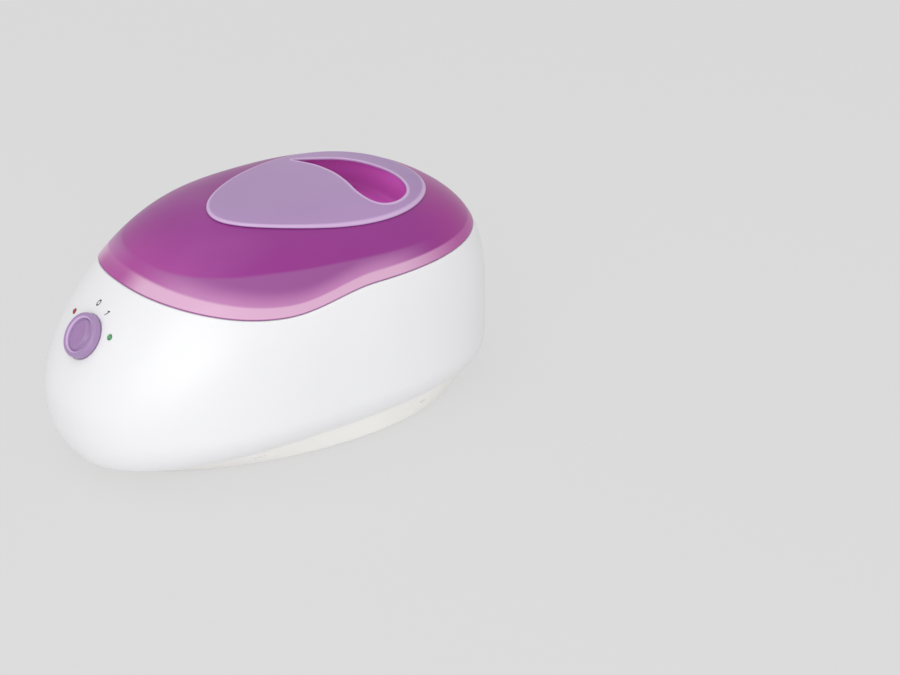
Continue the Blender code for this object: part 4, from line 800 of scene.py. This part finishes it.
tone = {"lip": np.zeros(len(knob.data.vertices)), "grip": np.zeros(len(knob.data.vertices))}
lip, grip = painted_knob_light(x, y)
tone["lip"][:lip.size], tone["grip"][:grip.size] = lip.ravel(), grip.ravel()
tone["grip"][-2] = 1.0
for name, values in tone.items():
    knob.data.attributes.new(name, "FLOAT", "POINT").data.foreach_set("value", values)
# painted shade on top of the grip and a painted highlight along the ring's inner lip
grip_shaded = knob_look.mix(knob_look.attribute("grip"), knob_look.base, tint(165, 126, 178))
knob_look.feed("Base Color", knob_look.mix(knob_look.attribute("lip"), grip_shaded, tint(214, 184, 224)))
dress(knob, knob_look, "switch", "lilac_panel", ["control_knob"], sharp=40)

# pilot lamps: domed lenses with a painted glow at the centre, in a second tone

for name, spot, shade, glow in (("red", red_spot, (168, 44, 48), (128, 18, 24)),
                                ("green", green_spot, (72, 146, 90), (104, 178, 122))):
    look = Finish(name + "_lens_clear", tint(*shade), 0.14, Coat_Weight=0.5, Coat_Roughness=0.05)
    sideways, upward = look.along(spot[0], spot[1][0]), look.along(spot[0], spot[1][1])
    # painted glow: the centre of each lens in a second tone
    glow_heart = ((sideways ** 2 + upward ** 2) ** 0.5).fall(0.5 * MM, 1.7 * MM)
    look.feed("Base Color", look.mix(glow_heart * 0.7, tint(*shade), tint(*glow)))
    look.bump(look.noise(2200.0, 2.0), 0.15, 0.01 * MM)
    flange = -3.4 * MM
    lens = show(name + "_lens", mesh_of(name + "_lens", [turned(
        ((0, flange - 1.2 * MM), (3.6 * MM, flange - 1.2 * MM), (3.6 * MM, flange), (2.2 * MM, flange),
         (2.2 * MM, 0.15 * MM), (1.5 * MM, 0.78 * MM), (0.7 * MM, 0.97 * MM), (0, 1.0 * MM)),
        [0, 0.2 * MM, 0.2 * MM, 0, 0.3 * MM, 0.4 * MM, 0.3 * MM, 0], 40, spot)]))
    dress(lens, look, "housing", name + "_lens", [name + "_lamp_lens"], sharp=50)

# base pan with latch windows, foot pockets and screw towers

pan_look = moulded("pan_white", tint(248, 247, 244), 0.42, drift=0.02, grain=700.0, relief=0.04 * MM)


def pan_oval(turn, z, grow=0.0):
    """Egg outline of the pan's foot."""
    c, s = np.cos(turn), np.sin(turn)
    return np.stack([6 * MM + (160 * MM + grow) * c, (90 * MM + grow) * s * (1 + 0.16 * c),
                     np.full(len(turn), z)], axis=1)


def at_height(ring, z):
    """The same ring laid flat at a height."""
    made = ring.copy()
    made[:, 2] = z
    return made


pan_turn = turns(260)
pan_edge = 21 * MM + 7 * MM * np.cos(pan_turn)
top_out, top_in = form(pan_turn, pan_edge, WALL + 0.4 * MM), form(pan_turn, pan_edge, 5.5 * MM)
foot_out, foot_in = pan_oval(pan_turn, 1.5 * MM), pan_oval(pan_turn, 4.5 * MM, -2.5 * MM)
seam_z = pan_edge - 0.5 * MM
outside, within = at_height(top_out, seam_z), at_height(top_in, seam_z)
rings = [pan_oval(pan_turn, 1.5 * MM, -g * MM) for g in (88, 60, 30)]
rings += soften([pan_oval(pan_turn, 1.5 * MM, -12 * MM), foot_out, outside,
                 at_height(top_out, pan_edge + 5 * MM), at_height(top_in, pan_edge + 5 * MM), within, foot_in,
                 pan_oval(pan_turn, 4.5 * MM, -14 * MM)],
                [0, 3.2 * MM, 0.3 * MM, 0.6 * MM, 0.6 * MM, 0, 3 * MM, 0], 6)
rings += [pan_oval(pan_turn, 4.5 * MM, -g * MM) for g in (32, 62, 88)]
pan = show("base_pan_fine", mesh_of("base_pan_fine", [skin(
    rings, start=(6 * MM, 0, 1.5 * MM), end=(6 * MM, 0, 4.5 * MM))]))

pockets = [turned(((0, -4 * MM), (9.3 * MM, -4 * MM), (9.3 * MM, 2.9 * MM), (0, 2.9 * MM)),
                  [0, 0, 0.3 * MM, 0], 48, upright(x, y)) for x, y in FEET]
towers = [turned(((0, 3 * MM), (6.4 * MM, 3 * MM), (6.4 * MM, 15.7 * MM), (0, 15.7 * MM)),
                 [0, 0, 0.5 * MM, 0], 32, upright(x, y)) for x, y in SCREWS]
heads = [turned(((0, -4 * MM), (3.9 * MM, -4 * MM), (3.9 * MM, 4.4 * MM), (2.1 * MM, 4.4 * MM),
                 (2.1 * MM, 20 * MM), (0, 20 * MM)), None, 32, upright(x, y)) for x, y in SCREWS]


def pan_spot(angle, ring):
    """Point of a ring at an angle, on the straight line between its two nearest points."""
    k = angle % (2 * math.pi) / (2 * math.pi) * len(ring)
    i = int(k)
    return ring[i] + (ring[(i + 1) % len(ring)] - ring[i]) * (k - i)


def latch(angle):
    """Rounded slot, square to the pan's wall: rings of a stadium from inside to outside."""
    half_way = (at_height(pan_oval(pan_turn, 4 * MM), 4 * MM) + outside) / 2
    along = pan_spot(angle + 0.05, half_way) - pan_spot(angle - 0.05, half_way)
    along /= np.linalg.norm(along)
    inward = np.cross(pan_spot(angle, outside) - pan_spot(angle, foot_out), along)
    inward /= np.linalg.norm(inward)
    upward = np.cross(along, inward)
    turn = turns(32)
    a = np.clip(np.cos(turn) * 2.2, -1, 1) * 3.2 * MM + np.cos(turn) * 1.3 * MM
    b = np.sin(turn) * 1.5 * MM
    return skin([pan_spot(angle, half_way) + np.outer(a, along) + np.outer(b, upward) + inward * d
                 for d in (1.2 * MM, -3 * MM)],
                start=pan_spot(angle, half_way) + inward * 1.2 * MM,
                end=pan_spot(angle, half_way) - inward * 3 * MM)


latches = [latch(side * math.radians(d)) for side in (-1, 1) for d in (62, 112, 147)]
carve(pan, adds=towers, cuts=[*pockets, *heads, *latches])
dress(pan, pan_look, "housing", "white_pan", ["base_pan"])

# feet, base screws and handle screws

rubber = moulded("foot_rubber", tint(52, 52, 54), 0.78, grain=1600.0, relief=0.06 * MM, drift=0.2)
zinc = metal("zinc_plate", tint(196, 199, 203), 0.32, fleck=420.0)
names = ("front_left", "front_right", "rear_left", "rear_right")
for name, (x, y) in zip(names, FEET):
    foot_piece = show("rubber_foot_" + name, mesh_of("rubber_foot_" + name, [turned(
        ((0, 0.5 * MM), (4.2 * MM, 0.5 * MM), (4.9 * MM, 0), (9 * MM, 0), (9 * MM, 2.6 * MM), (0, 2.6 * MM)),
        [0, 0.2 * MM, 0.2 * MM, 0.8 * MM, 0.2 * MM, 0], 64, upright(x, y))]))
    dress(foot_piece, rubber, "housing", "foot_rubber", ["foot_" + name], sharp=50)


def cross_recess(x, y, low, high, size):
    """Cross-shaped drive recess as a star of eight points that tapers upwards."""
    turn = turns(32)
    star = np.where(np.abs(np.cos(2 * turn)) > 0.86, 1.0, 0.36)
    rings = [np.stack([x + size * k * star * np.cos(turn), y + size * k * star * np.sin(turn),
                       np.full(32, z)], axis=1) for k, z in ((1.0, low), (0.62, high))]
    return skin(rings, start=(x, y, low), end=(x, y, high))


def screw(name, x, y, head, height, radius, shank, tip, body, node):
    """Pan-head screw seen from below: domed head, straight shank, pointed tip and a cross recess."""
    made = show(name, mesh_of(name, [turned(
        ((0, head), (radius * 0.72, head), (radius, head + height * 0.55), (radius, head + height),
         (shank, head + height), (shank, tip - shank * 1.6), (0, tip)),
        [0, 0.4 * MM, 0.3 * MM, 0.15 * MM, 0, 0.2 * MM, 0], 40, upright(x, y))]))
    carve(made, cuts=[cross_recess(x, y, head - 0.6 * MM, head + height * 0.7, radius * 0.55)])
    dress(made, zinc, body, "zinc_steel", [node], sharp=40)


for name, (x, y) in zip(names, SCREWS):
    screw("pan_screw_" + name, x, y, 2.3 * MM, 1.8 * MM, 3.6 * MM, 1.8 * MM, 37.7 * MM, "housing",
          "base_screw_" + name)
for name, (x, y, head) in zip(("front", "left", "right"), screw_skins):
    screw("panel_screw_" + name, x, y, head - 1.6 * MM, 1.6 * MM, 3.0 * MM, 1.2 * MM, head + 3.7 * MM, "lid",
          "handle_screw_" + name)

# drawn aluminium tank

tank_look = metal("drawn_aluminium", tint(214, 216, 219), 0.30, stretch=(1, 1, 9), fleck=60.0,
                  relief=0.05 * MM)
tank_turn = turns(240)


def tank_row(offset, z):
    return tank_oval(tank_turn, offset, z)


flange, top, floor = 129.8 * MM, 131.0 * MM, 44 * MM
tank_rows = [tank_row(-g * MM, floor - 1.2 * MM) for g in (64, 44)]
tank_rows += soften([
    tank_row(-26 * MM, floor - 1.2 * MM), tank_row(-8 * MM, floor - 1.2 * MM), tank_row(1.2 * MM, flange),
    tank_row(11.8 * MM, flange), tank_row(11.8 * MM, top), tank_row(0, top), tank_row(-9 * MM, floor),
    tank_row(-27 * MM, floor)],
    [0, 13 * MM, 1.2 * MM, 0.5 * MM, 0.5 * MM, 2.4 * MM, 13 * MM, 0], 8)
tank_rows += [tank_row(-g * MM, floor) for g in (44, 64)]
tank_skins = [skin(tank_rows, start=(TANK_X, 0, floor - 1.2 * MM), end=(TANK_X, 0, floor))]
for x in (-30 * MM, 67 * MM):
    tank_skins.append(turned(((0, 24.8 * MM), (2 * MM, 24.8 * MM), (2 * MM, 43.4 * MM), (0, 43.4 * MM)),
                             [0, 0.4 * MM, 0, 0], 24, upright(x, 0)))
tank = show("tank", mesh_of("tank", tank_skins))
dress(tank, tank_look, "housing", "tank_aluminium", ["wax_tank"], sharp=50)

# cord gland at the rear

gland_look = moulded("gland_white", tint(232, 232, 230), 0.4, drift=0.03)
gland = show("gland", mesh_of("gland", [turned(
    ((6.4 * MM, -13.1 * MM), (6.4 * MM, -3.1 * MM), (9.5 * MM, -3.1 * MM), (9.5 * MM, -0.4 * MM),
     (5.2 * MM, -0.4 * MM), (3.4 * MM, -1.6 * MM), (3.4 * MM, -13.1 * MM)),
    [0.3 * MM, 0, 0.2 * MM, 0.9 * MM, 0.5 * MM, 0.6 * MM, 0.3 * MM], 64, outlet_spot, wrap=True)]))
dress(gland, gland_look, "housing", "white_shell", ["cord_gland"], sharp=45)

# finishes of the nodes that keep their solids

silicone = moulded("gasket_silicone", tint(224, 222, 214), 0.55, drift=0.05)
black = moulded("black_plastic", tint(45, 45, 47), 0.5, drift=0.15)
cream = moulded("cream_plastic", tint(222, 214, 194), 0.48, drift=0.06)
plate = metal("cast_plate", tint(190, 192, 196), 0.45, fleck=160.0, relief=0.08 * MM)
sheath = metal("element_sheath", tint(150, 146, 140), 0.4, stretch=(8, 1, 1), fleck=80.0)
mineral = Finish("mineral_wool", tint(205, 200, 186), 0.95)
fluff = mineral.noise(320.0, 6.0, mineral.place(scale=(1, 2.4, 1)), 0.7)
mineral.feed("Base Color", mineral.mix(fluff.rise(0.3, 0.7), tint(170, 163, 146), tint(216, 212, 200)))
mineral.bump(fluff, 0.6, 0.4 * MM)
blue = moulded("lead_blue", tint(52, 96, 168), 0.42, drift=0.12)
brown = moulded("lead_brown", tint(112, 74, 48), 0.42, drift=0.12)
kept = {
    silicone: ["tank_gasket"], plate: ["heater_plate"],
    sheath: ["heater_element"], mineral: ["insulation_pad"],
    zinc: ["heat_shield", "plate_nut_front", "plate_nut_rear", "shield_nut_front", "shield_nut_rear",
           "thermostat_clip", "thermal_fuse", "fuse_clip", "switch_nut", "switch_shaft"],
    black: ["thermostat", "red_lamp_holder", "green_lamp_holder", "gland_nut"],
    cream: ["switch_body", "terminal_block"],
    brown: ["lead_switch_live", "lead_heater_thermostat", "lead_thermostat", "lead_fuse"],
    blue: ["lead_switch_return", "lead_heater_return", "lead_red_lamp", "lead_green_lamp"],
}
for look, nodes in kept.items():
    for node in nodes:
        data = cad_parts[node].data
        data.materials.clear()
        data.materials.append(look.material)

# floor, light and camera

floor_look = Finish("pale_floor", tint(236, 236, 236), 0.9)
floor_look.feed("Specular IOR Level", 0.0)
glow = floor_look.tree.nodes.new("ShaderNodeEmission")
glow.inputs["Color"].default_value = tint(219, 219, 219)
seen = floor_look.node("ShaderNodeLightPath", {}, out=0)
blend = floor_look.tree.nodes.new("ShaderNodeMixShader")
floor_look.tree.links.new((0.4 + seen * 0.4).socket, blend.inputs[0])
floor_look.tree.links.new(floor_look.shader.outputs[0], blend.inputs[1])
floor_look.tree.links.new(glow.outputs[0], blend.inputs[2])
floor_look.tree.links.new(blend.outputs[0], floor_look.tree.nodes["Material Output"].inputs[0])
spread, below_feet = 6.0, -0.1 * MM
ground = bpy.data.meshes.new("ground")
ground.from_pydata([(x * spread, y * spread, below_feet) for x, y in ((-1, -1), (1, -1), (1, 1), (-1, 1))],
                   [], [(0, 1, 2, 3)])
ground.materials.append(floor_look.material)
show("ground", ground)

world = bpy.data.worlds.new("studio")
world.use_nodes = True
world.node_tree.nodes["Background"].inputs["Color"].default_value = (1.0, 1.0, 1.0, 1.0)
world.node_tree.nodes["Background"].inputs["Strength"].default_value = 0.66
bpy.context.scene.world = world


def lamp(name, place, aim, size, watts):
    """Round area lamp that faces a point."""
    data = bpy.data.lights.new(name, "AREA")
    data.shape, data.size, data.energy = "DISK", size, watts
    made = show(name, data)
    made.location = place
    made.rotation_euler = (Vector(aim) - Vector(place)).to_track_quat("-Z", "Y").to_euler()


lamp("key", (-1.8, -1.7, 1.3), (0, 0, 0.08), 2.4, 20)
lamp("low", (-1.0, -2.2, 0.25), (0, 0, 0.02), 1.4, 9)
lamp("top", (-0.5, 0.3, 2.4), (0, 0, 0.1), 2.2, 6)

camera = bpy.data.objects.new("camera", bpy.data.cameras.new("camera"))
bpy.context.scene.collection.objects.link(camera)
camera.data.lens = 102.673
camera.data.sensor_width = 36
camera.location = (-0.98485, -1.55952, 0.98852)
camera.rotation_euler = Vector((0.53452, 0.71532, -0.45012)).to_track_quat("-Z", "Y").to_euler()
bpy.context.scene.camera = camera
bpy.context.scene.view_settings.view_transform = "Standard"
